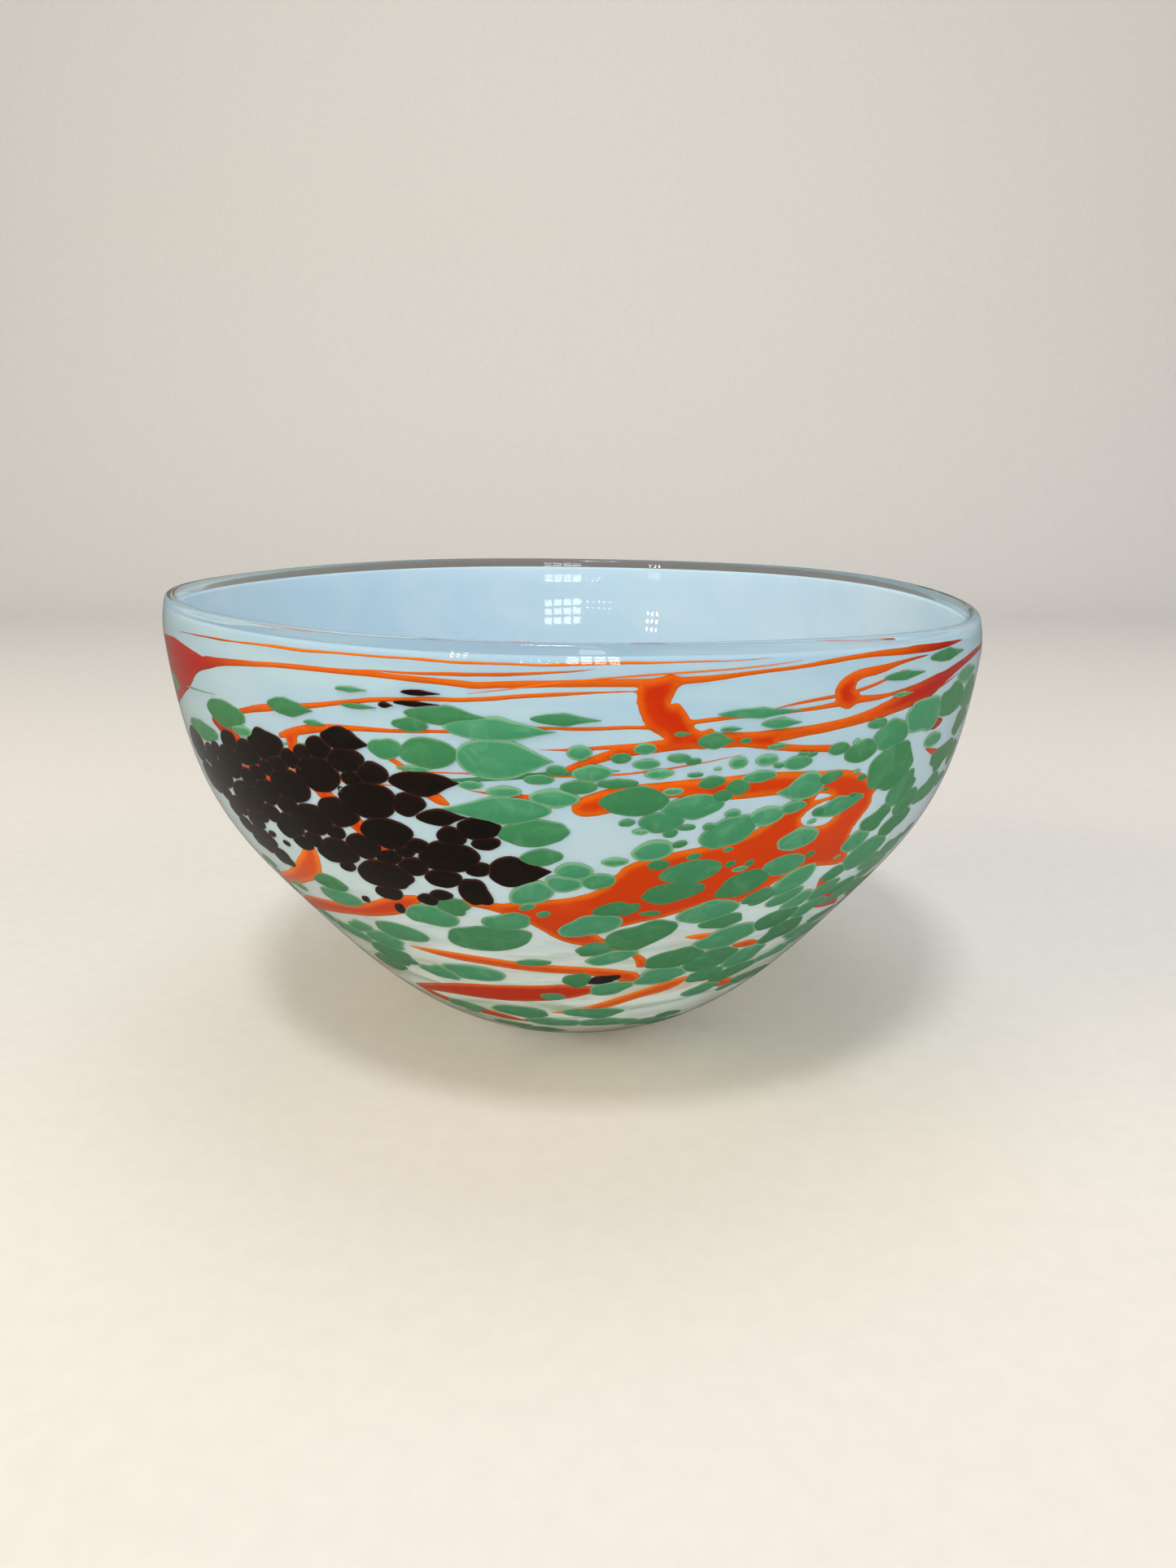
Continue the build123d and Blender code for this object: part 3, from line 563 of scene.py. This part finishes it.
def add_chip(build, patch, shape, room, rough, dice):
    """One chip, rebuilt with a broken outline and a softened top."""
    middle, outline, _, short_side = shape
    outline = roughen(outline, middle, short_side, rough, dice)
    arms = outline - middle
    reach = np.hypot(*arms.T)
    outline = middle + arms * (1 + room / np.maximum(reach, 0.3 * MM))[:, None]
    rounding = min(CHIP_ROUND, 0.4 * short_side)
    height = CHIP_EDGE_HEIGHT + (CHIP_HEIGHT - CHIP_EDGE_HEIGHT) * min(1, short_side / (2 * MM))
    rings, edges, top = chip_rings(patch, middle, outline, CHIP_EDGE_HEIGHT, height, rounding)
    steps = len(outline)
    under = patch.lift(middle[None], -SKIRT)
    vertices = np.concatenate([*rings, top, under])
    faces = ring_faces(len(rings), steps)
    faces += cap_faces(len(rings) - 1, steps, len(vertices) - 2, False)
    faces += cap_faces(0, steps, len(vertices) - 1, True)
    inmost = reach.min() + room.mean()
    edge = np.concatenate([*edges, [inmost], [inmost]]) / MM
    build.add(vertices, faces, edge=edge, hue=dice.random())


def build_chips(node, seed, most, slit, rough):
    """Every chip of a node, grown by up to a distance into the gaps between them.

    The slit is the lining left showing between two that meet; a slit below zero lets them fuse.
    """
    dice = np.random.default_rng(SEED + seed)
    build = Build()
    rims, owners = chip_rims
    for points, _ in chip_islands[node]:
        patch = Patch(points)
        shape = chip_outline(patch.flat)
        middle, outline, long_side, short_side = shape
        centre = patch.lift(middle[None], 0.0)[0]
        near = np.linalg.norm(rims - centre, axis=1) < long_side + NEIGHBOUR_REACH
        own = np.linalg.norm(chip_centres[owners] - centre, axis=1) < 0.5 * MM
        furthest = min(most * (1 + CROWDED_GROWTH * crowding(patch)), growth_limit(short_side))
        room = room_to_grow(patch, outline, rims[near & ~own], furthest, slit)
        add_chip(build, patch, shape, room, rough, dice)
    return build


def rims_of_all():
    """Every chip's middle, and points round all their rims with the number of the chip each is on."""
    centres, rims, owners = [], [], []
    for own_islands in chip_islands.values():
        for points, _ in own_islands:
            patch = Patch(points)
            middle, outline, _, _ = chip_outline(patch.flat)
            rims.append(patch.lift(outline, 0.0))
            owners.append(np.full(len(outline), len(centres)))
            centres.append(patch.lift(middle[None], 0.0)[0])
    return np.array(centres), (np.concatenate(rims), np.concatenate(owners))


chip_islands = {node: islands(*node_mesh(node)) for node in ("green_frit", "aubergine_frit")}
chip_centres, chip_rims = rims_of_all()


# --- Colour: trails ---

def sides_of(triangles):
    """Every side of every triangle, as the pair of points that it runs between."""
    return {pair for a, b, c in triangles for pair in ((a, b), (b, c), (c, a))}


def outer_loops(points, triangles):
    """Outlines of the part of a solid that faces outwards on the wall."""
    corners = points[triangles]
    facing = np.cross(corners[:, 1] - corners[:, 0], corners[:, 2] - corners[:, 0])
    size = np.linalg.norm(facing, axis=1)
    middle = corners.mean(axis=1)
    radius = np.hypot(middle[:, 0], middle[:, 1])
    angle, along = on_wall(middle)
    out, up = np.moveaxis(coat.normal(along), -1, 0)
    wall = np.stack([out * np.sin(angle), -out * np.cos(angle), up], axis=1)
    outward = (facing * wall).sum(axis=1) > 0.5 * np.maximum(size, 1e-15)
    gap = np.stack([radius, middle[:, 2]], axis=1) - coat.at(along)
    height = gap[:, 0] * out + gap[:, 1] * up
    outward &= height > TRAIL_FACE
    after = {}
    sides = sides_of(triangles[outward])
    for a, b in sides:
        if (b, a) not in sides:
            after[a] = b
    loops = []
    while after:
        start, spot = after.popitem()
        loop = [start]
        while spot in after:
            loop.append(spot)
            spot = after.pop(spot)
        loops.append(points[loop])
    return loops


def even_steps(loop, step):
    """A closed flat outline resampled at even steps and smoothed."""
    closed = np.concatenate([loop, loop[:1]])
    length = np.concatenate([[0], np.cumsum(np.hypot(*np.diff(closed, axis=0).T))])
    count = max(int(length[-1] / step), 8)
    spots = np.arange(count) * length[-1] / count
    even = np.stack([np.interp(spots, length, closed[:, i]) for i in (0, 1)], axis=1)
    return smooth_round(even, 2)


def inside_outline(outline, spots):
    """Which spots lie inside a closed flat outline, and how far every spot is from it."""
    ends = np.roll(outline, -1, axis=0)
    within = np.zeros(len(spots), bool)
    distance = np.full(len(spots), np.inf)
    for a, b in zip(outline, ends):
        crosses = (a[1] > spots[:, 1]) != (b[1] > spots[:, 1])
        with np.errstate(divide="ignore", invalid="ignore"):
            meets = a[0] + (spots[:, 1] - a[1]) * (b[0] - a[0]) / (b[1] - a[1])
        within ^= crosses & (spots[:, 0] < meets)
        side = b - a
        share = np.clip(((spots - a) @ side) / max(side @ side, 1e-18), 0, 1)
        distance = np.minimum(distance, np.hypot(*(spots - a - share[:, None] * side).T))
    return within, distance


def trail_outlines(patch, loops, dice):
    """A trail's outlines on the flat map, with a slight wander."""
    outlines = []
    for loop in loops:
        outline = even_steps(patch.flatten(*on_wall(loop)), TRAIL_STEP)
        shift = np.array([[noise.noise(Vector((x * WOBBLE_SCALE, y * WOBBLE_SCALE, layer)))
                           for layer in (dice.uniform(0, 9), WOBBLE_LAYER)] for x, y in outline])
        outlines.append(outline + shift * TRAIL_WOBBLE)
    return outlines


def grid_within(outlines):
    """A staggered grid of places inside the outlines, and how far each one is from them."""
    border = np.concatenate(outlines)
    low, high = border.min(axis=0), border.max(axis=0)
    rows = np.arange(low[1], high[1], TRAIL_GRID * 0.87)
    grid = [(x + TRAIL_GRID * 0.5 * (row % 2), y) for row, y in enumerate(rows)
            for x in np.arange(low[0], high[0], TRAIL_GRID)]
    grid = np.array(grid) if grid else np.zeros((0, 2))
    within = np.zeros(len(grid), bool)
    distance = np.full(len(grid), np.inf)
    for outline in outlines:
        inner_side, gap = inside_outline(outline, grid)
        within ^= inner_side
        distance = np.minimum(distance, gap)
    keep = within & (distance > TRAIL_GRID * 0.45)
    return grid[keep], distance[keep]


def filled(outlines):
    """The outlines filled in: places on the flat map, how far in each one is, and triangles."""
    border = np.concatenate(outlines)
    grid, distance = grid_within(outlines)
    spots = [Vector(spot) for spot in np.concatenate([border, grid])]
    depth = np.concatenate([np.zeros(len(border)), distance])
    edges, start = [], 0
    for outline in outlines:
        count = len(outline)
        edges += [(start + i, start + (i + 1) % count) for i in range(count)]
        start += count
    flat, _, triangles, origins = geometry.delaunay_2d_cdt(spots, edges, [], 0, 1e-9)[:4]
    flat = np.array([tuple(spot) for spot in flat])
    level = np.array([depth[source[0]] if source else 0.0 for source in origins])
    centres = flat[np.array(triangles)].mean(axis=1)
    solid = np.zeros(len(centres), bool)
    for outline in outlines:
        solid ^= inside_outline(outline, centres)[0]
    return flat, level, [tuple(t) for t, kept in zip(triangles, solid) if kept]


def add_trail(build, loops, dice):
    """One trail or pool of a CAD node as a lens lying on the lining, thin at its edges."""
    patch = Patch(np.concatenate(loops))
    flat, level, triangles = filled(trail_outlines(patch, loops, dice))
    rise = TRAIL_HEIGHT * (1 - np.exp(-level / (TRAIL_EDGE * 0.45)))
    top = patch.lift(flat, rise + TRAIL_GAP)
    under = patch.lift(flat, np.full(len(flat), -SKIRT))
    sides = sides_of(triangles)
    count = len(flat)
    faces = triangles + [tuple(corner + count for corner in t[::-1]) for t in triangles]
    faces += [(b, a, a + count, b + count) for a, b in sides if (b, a) not in sides]
    build.add(np.concatenate([top, under]), faces,
              edge=np.concatenate([level, level]) / MM, hue=dice.random())


def build_trails(node):
    """Every trail and pool of a node."""
    dice = random.Random(SEED)
    build = Build()
    for points, triangles in islands(*node_mesh(node)):
        loops = [loop for loop in outer_loops(points, triangles) if len(loop) > 3]
        if loops:
            add_trail(build, loops, dice)
    return build


def add_thread(build, angles, downs, widths, hue):
    """A drawn-out thread of glass lying on the lining, with a rounded back and fine ends."""
    along = coat_top - downs
    radius = coat.at(along)[:, 0]
    flat = np.stack([angles * radius, along], axis=1)
    heading = np.gradient(flat, axis=0)
    heading /= np.hypot(*heading.T)[:, None]
    side = np.stack([-heading[:, 1], heading[:, 0]], axis=1)
    # each lane's place across the thread, and its share of the height; the outer two lie buried
    lanes = [(-1.0, -SKIRT), (-0.92, 0.25), (-0.5, 0.8), (0.0, 1.0),
             (0.5, 0.8), (0.92, 0.25), (1.0, -SKIRT)]
    rows = []
    for across, level in lanes:
        spots = flat + side * (across * widths / 2)[:, None]
        height = level if level < 0 else np.minimum(THREAD_HEIGHT, widths * 0.5) * level
        rows.append(in_space(spots[:, 0] / radius, spots[:, 1], height))
    points = np.stack(rows, axis=1)
    count, lane_count = points.shape[:2]
    faces = []
    for step in range(count - 1):
        for lane in range(lane_count):
            after = (lane + 1) % lane_count
            low, high = step * lane_count, (step + 1) * lane_count
            faces.append((low + lane, high + lane, high + after, low + after))
    faces.append(tuple(range(lane_count)))
    faces.append(tuple((count - 1) * lane_count + lane for lane in reversed(range(lane_count))))
    edge = np.repeat(widths, lane_count) / MM / 2
    build.add(points.reshape(-1, 3), faces, edge=edge, hue=hue)


def add_hair_threads(build, count, downs, widths, seed):
    """Fine threads wound round the upper wall, each one rising or falling a little on its way."""
    dice = random.Random(SEED + seed)
    for _ in range(count):
        start = dice.uniform(0, 2 * math.pi)
        sweep = math.radians(dice.uniform(18, 60))
        steps = 40
        share = np.linspace(0, 1, steps)
        slope = dice.uniform(-7, 3) * MM
        sway = dice.uniform(0.3, 1.2) * MM * np.sin(share * dice.uniform(3, 7) + dice.uniform(0, 6))
        down = dice.uniform(*downs) * MM + slope * share + sway
        width = dice.uniform(*widths) * MM * np.sin(math.pi * np.clip(share, 0.02, 0.98)) ** 0.5
        add_thread(build, start + sweep * share, down, width, dice.random())


# --- Materials ---

OPAL_MILK = (0.335, 0.48, 0.60)
# painted bounce light: the lighter colour of the lower outside wall, standing in for light thrown up from
# the floor
OPAL_PAINTED_BOUNCE = (0.70, 0.78, 0.76)
OPAL_MIST = (0.41, 0.55, 0.60)
HAZE_JADE = (0.24, 0.38, 0.22)
HAZE_AMBER = (0.60, 0.27, 0.08)
OPAL_INSIDE = (0.45, 0.61, 0.73)
OPAL_INSIDE_CLOUD = (0.50, 0.64, 0.74)
GREEN_DEEP = (0.044, 0.205, 0.092)
GREEN_THIN = (0.15, 0.31, 0.165)
GREEN_STREAK = (0.105, 0.30, 0.160)
ORANGE_DEEP = (0.52, 0.038, 0.0005)
ORANGE_THIN = (0.68, 0.135, 0.004)
ORANGE_STREAK = (0.70, 0.075, 0.001)
ORANGE_THICK = (0.34, 0.008, 0.001)
AUBERGINE_DEEP = (0.004, 0.002, 0.001)
AUBERGINE_THIN = (0.050, 0.012, 0.009)
AUBERGINE_STREAK = (0.009, 0.004, 0.003)


class Recipe:
    """A material's node tree, with short ways to add and join nodes."""

    def __init__(self, name):
        self.material = bpy.data.materials.new(name)
        self.material.use_nodes = True
        self.tree = self.material.node_tree
        self.tree.nodes.clear()
        self.output = self.add("ShaderNodeOutputMaterial")

    def add(self, kind, **inputs):
        """A node, its inputs given by name with underscores for spaces."""
        node = self.tree.nodes.new(kind)
        for name, value in inputs.items():
            self.feed(node.inputs[name.replace("_", " ")], value)
        return node

    def feed(self, socket, value):
        """Join a socket to another node's output, or give it a plain value."""
        if isinstance(value, bpy.types.NodeSocket):
            self.tree.links.new(value, socket)
        elif isinstance(value, tuple) and len(value) == 3 and socket.type == "RGBA":
            socket.default_value = (*value, 1)
        else:
            socket.default_value = value

    def place(self):
        return self.add("ShaderNodeTexCoord").outputs["Object"]

    def attribute(self, name):
        node = self.add("ShaderNodeAttribute")
        node.attribute_name = name
        return node.outputs["Fac"]

    def noise(self, scale, detail=3.0, roughness=0.55, distortion=0.0, at=None):
        """Smooth noise; the scale counts features per metre."""
        node = self.add("ShaderNodeTexNoise", Vector=at or self.place(), Scale=scale, Detail=detail,
                        Roughness=roughness, Distortion=distortion)
        return node.outputs["Fac"]

    def math(self, operation, a, b=0.0):
        node = self.add("ShaderNodeMath")
        node.operation = operation
        self.feed(node.inputs[0], a)
        self.feed(node.inputs[1], b)
        return node.outputs["Value"]

    def between(self, value, low, high, to_low=0.0, to_high=1.0):
        """A value carried from one span to another and held at its ends, eased between."""
        node = self.add("ShaderNodeMapRange", Value=value, From_Min=low, From_Max=high,
                        To_Min=to_low, To_Max=to_high)
        node.interpolation_type = "SMOOTHSTEP"
        return node.outputs["Result"]

    def mix(self, share, a, b):
        """A colour between two colours."""
        node = self.add("ShaderNodeMix")
        node.data_type = "RGBA"
        self.feed(node.inputs["Factor"], share)
        self.feed(next(s for s in node.inputs if s.name == "A" and s.type == "RGBA"), a)
        self.feed(next(s for s in node.inputs if s.name == "B" and s.type == "RGBA"), b)
        return next(s for s in node.outputs if s.type == "RGBA")

    def bump(self, height, strength, distance):
        node = self.add("ShaderNodeBump", Height=height, Strength=strength, Distance=distance)
        return node.outputs["Normal"]

    def skin(self, **inputs):
        return self.add("ShaderNodeBsdfPrincipled", **inputs).outputs["BSDF"]

    def done(self, surface):
        self.feed(self.output.inputs["Surface"], surface)
        return self.material


def clear_glass():
    """Clear crystal, let out of its own shadow so that light reaches the colour under it."""
    recipe = Recipe("clear_glass")
    swell = recipe.noise(38.0, detail=1.0)
    roughness = recipe.between(recipe.noise(900.0, detail=2.0), 0.62, 0.80, 0.0, 0.05)
    glass = recipe.skin(
        Base_Color=(0.985, 1.0, 0.992), Transmission_Weight=1.0, IOR=1.5, Roughness=roughness,
        Specular_Tint=(0.45, 0.45, 0.45),
        Normal=recipe.bump(swell, 0.12, 0.6 * MM),
    )
    ray = recipe.add("ShaderNodeLightPath")
    passing = recipe.math("MAXIMUM", ray.outputs["Is Shadow Ray"], ray.outputs["Is Diffuse Ray"])
    through = recipe.add("ShaderNodeBsdfTransparent", Color=(0.97, 0.985, 0.975)).outputs["BSDF"]
    both = recipe.add("ShaderNodeMixShader", Fac=passing)
    recipe.feed(both.inputs[1], glass)
    recipe.feed(both.inputs[2], through)
    return recipe.done(both.outputs["Shader"])


def opal_under_glass():
    """The outside of the opal cup: bluish at the top, painted lighter low down as painted bounce light
    from the floor, and hazed with colour low down.
    """
    recipe = Recipe("opal_outside")
    streaked = recipe.add("ShaderNodeMapping", Vector=recipe.place(), Scale=(1.0, 1.0, 5.0))
    along = streaked.outputs["Vector"]
    streaks = recipe.noise(26.0, distortion=0.6, at=along)
    height = recipe.add("ShaderNodeSeparateXYZ", Vector=recipe.place()).outputs["Z"]
    # painted bounce light: the colour grows lighter towards the bottom, where the floor's light would fall
    # on the wall
    milk_and_painted_bounce = recipe.mix(recipe.between(height, 0.1 * cad_top, 0.95 * cad_top), OPAL_PAINTED_BOUNCE, OPAL_MILK)
    streak = recipe.math("MULTIPLY", recipe.between(streaks, 0.35, 0.7), 0.6)
    colour = recipe.mix(streak, milk_and_painted_bounce, OPAL_MIST)
    low = recipe.between(height, 0.15 * cad_top, 0.60 * cad_top, 1.0, 0.0)
    for tint, scale, most in ((HAZE_JADE, 34.0, 0.75), (HAZE_AMBER, 27.0, 0.45)):
        drift = recipe.between(recipe.noise(scale, distortion=0.8, at=along), 0.42, 0.66)
        share = recipe.math("MULTIPLY", recipe.math("MULTIPLY", drift, low), most)
        colour = recipe.mix(share, colour, tint)
    return recipe.done(recipe.skin(
        Base_Color=colour, Roughness=0.7, Specular_IOR_Level=0.0,
        Subsurface_Weight=0.25, Subsurface_Radius=(0.9, 1.0, 1.1), Subsurface_Scale=1.5 * MM,
    ))


def opal_inside():
    """The bare inside of the opal cup: fire-polished, with the slight swell of blown glass."""
    recipe = Recipe("opal_inside")
    swell = recipe.noise(22.0, detail=1.0, distortion=0.3)
    cloud = recipe.between(recipe.noise(34.0, distortion=0.8), 0.35, 0.7)
    return recipe.done(recipe.skin(
        Base_Color=recipe.mix(cloud, OPAL_INSIDE, OPAL_INSIDE_CLOUD), Roughness=0.015,
        Specular_IOR_Level=0.18,
        Subsurface_Weight=0.25, Subsurface_Radius=(0.9, 1.0, 1.1), Subsurface_Scale=1.5 * MM,
        Normal=recipe.bump(swell, 0.2, 1.0 * MM),
    ))


def thick_shoulders(recipe):
    """From 0 to 1, how near a point is to the upper left and right sides, where the orange is thick."""
    parts = recipe.add("ShaderNodeSeparateXYZ", Vector=recipe.place()).outputs
    sideways = recipe.between(recipe.math("ABSOLUTE", parts["X"]), 68 * MM, 92 * MM)
    high = recipe.between(parts["Z"], 88 * MM, 104 * MM)
    return recipe.math("MULTIPLY", sideways, high)


def embedded_colour(name, deep, thin, fade, streak_scale, streak, palest=1.0, hue_shift=0.0, thick=None):
    """Coloured glass lying under the casing: deep in its middle, paler where it thins out."""
    recipe = Recipe(name)
    edge = recipe.attribute("edge")
    hue = recipe.attribute("hue")
    grain = recipe.noise(420.0, detail=4.0, roughness=0.6)
    wavering = recipe.math("ADD", edge, recipe.math("MULTIPLY", grain, fade * 0.5))
    thinned = recipe.math("DIVIDE", wavering, recipe.between(hue, 0.45, 1.0, 1.0, palest))
    body = recipe.between(thinned, fade * 0.25, fade * 1.5)
    base = recipe.mix(body, thin, deep)
    flow = recipe.between(recipe.noise(streak_scale, detail=3.0, distortion=1.2), 0.45, 0.75)
    colour = recipe.mix(recipe.math("MULTIPLY", flow, 0.45), base, streak)
    if thick:
        colour = recipe.mix(recipe.math("MULTIPLY", thick_shoulders(recipe), 0.85), colour, thick)
    tone = recipe.add("ShaderNodeHueSaturation", Color=colour)
    recipe.feed(tone.inputs["Value"], recipe.between(hue, 0.0, 1.0, 0.84, 1.14))
    recipe.feed(tone.inputs["Hue"], recipe.between(hue, 0.0, 1.0, 0.5 - hue_shift, 0.5 + hue_shift))
    return recipe.done(recipe.skin(
        Base_Color=tone.outputs["Color"], Roughness=0.55, Specular_IOR_Level=0.0,
    ))


# --- The pieces ---

build_lining(opal_under_glass(), opal_inside())
trails = build_trails("orange_trails")
add_hair_threads(trails, 14, (6, 34), (0.35, 0.9), 3)
trails.finish(
    "orange_trail_glass", "orange_glass",
    [embedded_colour("orange_glass", ORANGE_DEEP, ORANGE_THIN, 1.9, 34.0, ORANGE_STREAK,
                     hue_shift=0.006, thick=ORANGE_THICK)],
    "orange_trails",
)
green_chips = build_chips("green_frit", 1, most=1.2 * MM, slit=-0.6 * MM, rough=0.09)
add_hair_threads(green_chips, 9, (8, 30), (0.5, 1.3), 4)
green_chips.finish(
    "green_frit_glass", "green_glass",
    [embedded_colour("green_glass", GREEN_DEEP, GREEN_THIN, 0.35, 150.0, GREEN_STREAK,
                     palest=2.6, hue_shift=0.012)],
    "green_frit",
)
build_chips("aubergine_frit", 2, most=1.5 * MM, slit=-0.6 * MM, rough=0.11).finish(
    "aubergine_frit_glass", "aubergine_glass",
    [embedded_colour("aubergine_glass", AUBERGINE_DEEP, AUBERGINE_THIN, 0.5, 150.0, AUBERGINE_STREAK)],
    "aubergine_frit",
)
build_casing(clear_glass())


# --- Studio ---

FLOOR_COLOUR = (0.72, 0.70, 0.67)
FLOOR_MIRRORED = 0.30           # share of the floor's colour that reflections show
SWEEP_FRONT = -4.0              # the floor's edges in y and x, in metres
SWEEP_BACK = 1.5
SWEEP_SIDE = 4.0
SWEEP_BEND = 0.5                # radius of the turn from floor to backdrop
SWEEP_TOP = 2.2
BEND_STEPS = 12
SKY_COLOUR = (0.74, 0.86, 1.0)
SKY_STRENGTH = 0.36
SKY_MIRRORED = 0.08             # strength that reflections show
SKY_SEEN = (0.58, 0.56, 0.53)   # what the camera sees of it
AIM = (0, 0, 0.06)              # where every lamp points
WINDOW_AIM = (0, 0, 0.1)
FILL_SIZE = (1.0, 0.8)
COOL, WARM = (0.90, 0.96, 1.0), (1.0, 0.88, 0.70)


def plain_paint(name, colour, grain):
    """Matt paper with a fine grain, mostly kept out of the glass's reflections like the sky."""
    recipe = Recipe(name)
    fibre = recipe.noise(160.0, detail=4.0)
    shade = recipe.mix(recipe.between(fibre, 0.3, 0.7), tuple(c * (1 - grain) for c in colour), colour)
    mirrored = recipe.add("ShaderNodeLightPath").outputs["Is Glossy Ray"]
    shade = recipe.mix(mirrored, shade, tuple(c * FLOOR_MIRRORED for c in colour))
    return recipe.done(recipe.skin(Base_Color=shade, Roughness=0.85, Specular_IOR_Level=0.2))


def stage_object(name, points, faces, material):
    """An object that belongs to the studio and not to the bowl."""
    mesh = bpy.data.meshes.new(name)
    mesh.from_pydata(points, [], faces)
    mesh.materials.append(material)
    thing = add_object(name, mesh)
    return thing


def build_sweep():
    """A pale floor that turns up into a pale backdrop behind the bowl."""
    rows = [(SWEEP_FRONT, 0.0), (SWEEP_BACK - SWEEP_BEND, 0.0)]
    for step in range(1, BEND_STEPS + 1):
        turn = math.pi / 2 * step / BEND_STEPS
        rows.append((SWEEP_BACK - SWEEP_BEND + SWEEP_BEND * math.sin(turn),
                     SWEEP_BEND - SWEEP_BEND * math.cos(turn)))
    rows.append((SWEEP_BACK, SWEEP_TOP))
    points, faces = [], []
    for y, z in rows:
        points += [(-SWEEP_SIDE, y, z), (SWEEP_SIDE, y, z)]
    for row in range(len(rows) - 1):
        corner = row * 2
        faces.append((corner, corner + 1, corner + 3, corner + 2))
    sweep = stage_object("sweep", points, faces, plain_paint("paper", FLOOR_COLOUR, 0.03))
    sweep.data.polygons.foreach_set("use_smooth", [True] * len(faces))


def area_light(name, place, size, power, colour):
    """A soft lamp aimed at the bowl."""
    lamp = bpy.data.lights.new(name, "AREA")
    lamp.shape = "RECTANGLE"
    lamp.size, lamp.size_y = size
    lamp.energy = power
    lamp.color = colour
    holder = add_object(name, lamp)
    holder.location = place
    holder.rotation_euler = (Vector(AIM) - Vector(place)).to_track_quat("-Z", "Y").to_euler()
    return holder


def window_light(name, place, size, panes, bar, colour, strength):
    """A softbox behind a grid of bars, which the glass mirrors as a small window."""
    recipe = Recipe(name)
    material = recipe.done(
        recipe.add("ShaderNodeEmission", Color=colour, Strength=strength).outputs["Emission"])
    width, height = size
    columns, rows = panes
    points, faces = [], []
    for column in range(columns):
        for row in range(rows):
            left = (column / columns - 0.5) * width + bar / 2
            right = ((column + 1) / columns - 0.5) * width - bar / 2
            low = (row / rows - 0.5) * height + bar / 2
            high = ((row + 1) / rows - 0.5) * height - bar / 2
            faces.append(range(len(points), len(points) + 4))
            points += [(left, low, 0), (right, low, 0), (right, high, 0), (left, high, 0)]
    window = stage_object(name, points, faces, material)
    window.location = place
    window.rotation_euler = (Vector(WINDOW_AIM) - Vector(place)).to_track_quat("Z", "Y").to_euler()


def build_surroundings():
    """Soft light all round: dark in the glass's reflections, and as pale as the floor to the eye."""
    world = bpy.data.worlds.new("studio")
    world.use_nodes = True
    nodes, links = world.node_tree.nodes, world.node_tree.links
    ray = nodes.new("ShaderNodeLightPath")
    sky = nodes["Background"]
    sky.inputs["Color"].default_value = (*SKY_COLOUR, 1)
    strength = nodes.new("ShaderNodeMapRange")
    strength.inputs["To Min"].default_value = SKY_STRENGTH
    strength.inputs["To Max"].default_value = SKY_MIRRORED
    links.new(ray.outputs["Is Glossy Ray"], strength.inputs["Value"])
    links.new(strength.outputs["Result"], sky.inputs["Strength"])
    seen = nodes.new("ShaderNodeBackground")
    seen.inputs["Color"].default_value = (*SKY_SEEN, 1)
    either = nodes.new("ShaderNodeMixShader")
    links.new(ray.outputs["Is Camera Ray"], either.inputs["Fac"])
    links.new(sky.outputs["Background"], either.inputs[1])
    links.new(seen.outputs["Background"], either.inputs[2])
    links.new(either.outputs["Shader"], nodes["World Output"].inputs["Surface"])
    bpy.context.scene.world = world


def build_camera():
    """The photographer's view."""
    lens = bpy.data.cameras.new("camera")
    lens.sensor_fit = "VERTICAL"
    lens.sensor_height = 36
    lens.lens = CAMERA_LENS
    camera = add_object("camera", lens)
    camera.location = CAMERA_PLACE
    camera.rotation_euler = (math.pi / 2 - CAMERA_PITCH, 0, 0)
    bpy.context.scene.camera = camera


build_sweep()
area_light("key", (-0.15, -0.78, 1.83), (0.30, 0.30), 12, (1.0, 0.98, 0.95))
for name, place, power, colour in (
    ("fill_left", (-1.2, -0.5, 0.7), 13.0, (1.0, 0.76, 0.48)),
    ("fill_right", (1.3, -0.4, 0.8), 8.0, (1.0, 0.80, 0.56)),
    ("fill_front", (0.3, -1.5, 0.15), 11.0, (0.97, 0.98, 1.0)),
    ("overhead", (0.1, 0.35, 1.6), 5.5, (0.95, 0.98, 1.0)),
):
    lamp = area_light(name, place, FILL_SIZE, power, colour)
    lamp.visible_glossy = False
    lamp.visible_transmission = False
window_light("window_right", (0.24, -2.6, 0.61), (0.62, 0.30), (4, 3), 0.030, COOL, 24.0)
window_light("window_left", (-1.33, -2.5, 0.72), (0.26, 0.25), (3, 3), 0.045, WARM, 60.0)
window_light("lamps", (-0.26, -2.6, 0.54), (0.70, 0.14), (7, 2), 0.060, WARM, 50.0)
build_camera()
build_surroundings()
bpy.context.scene.view_settings.view_transform = "Standard"
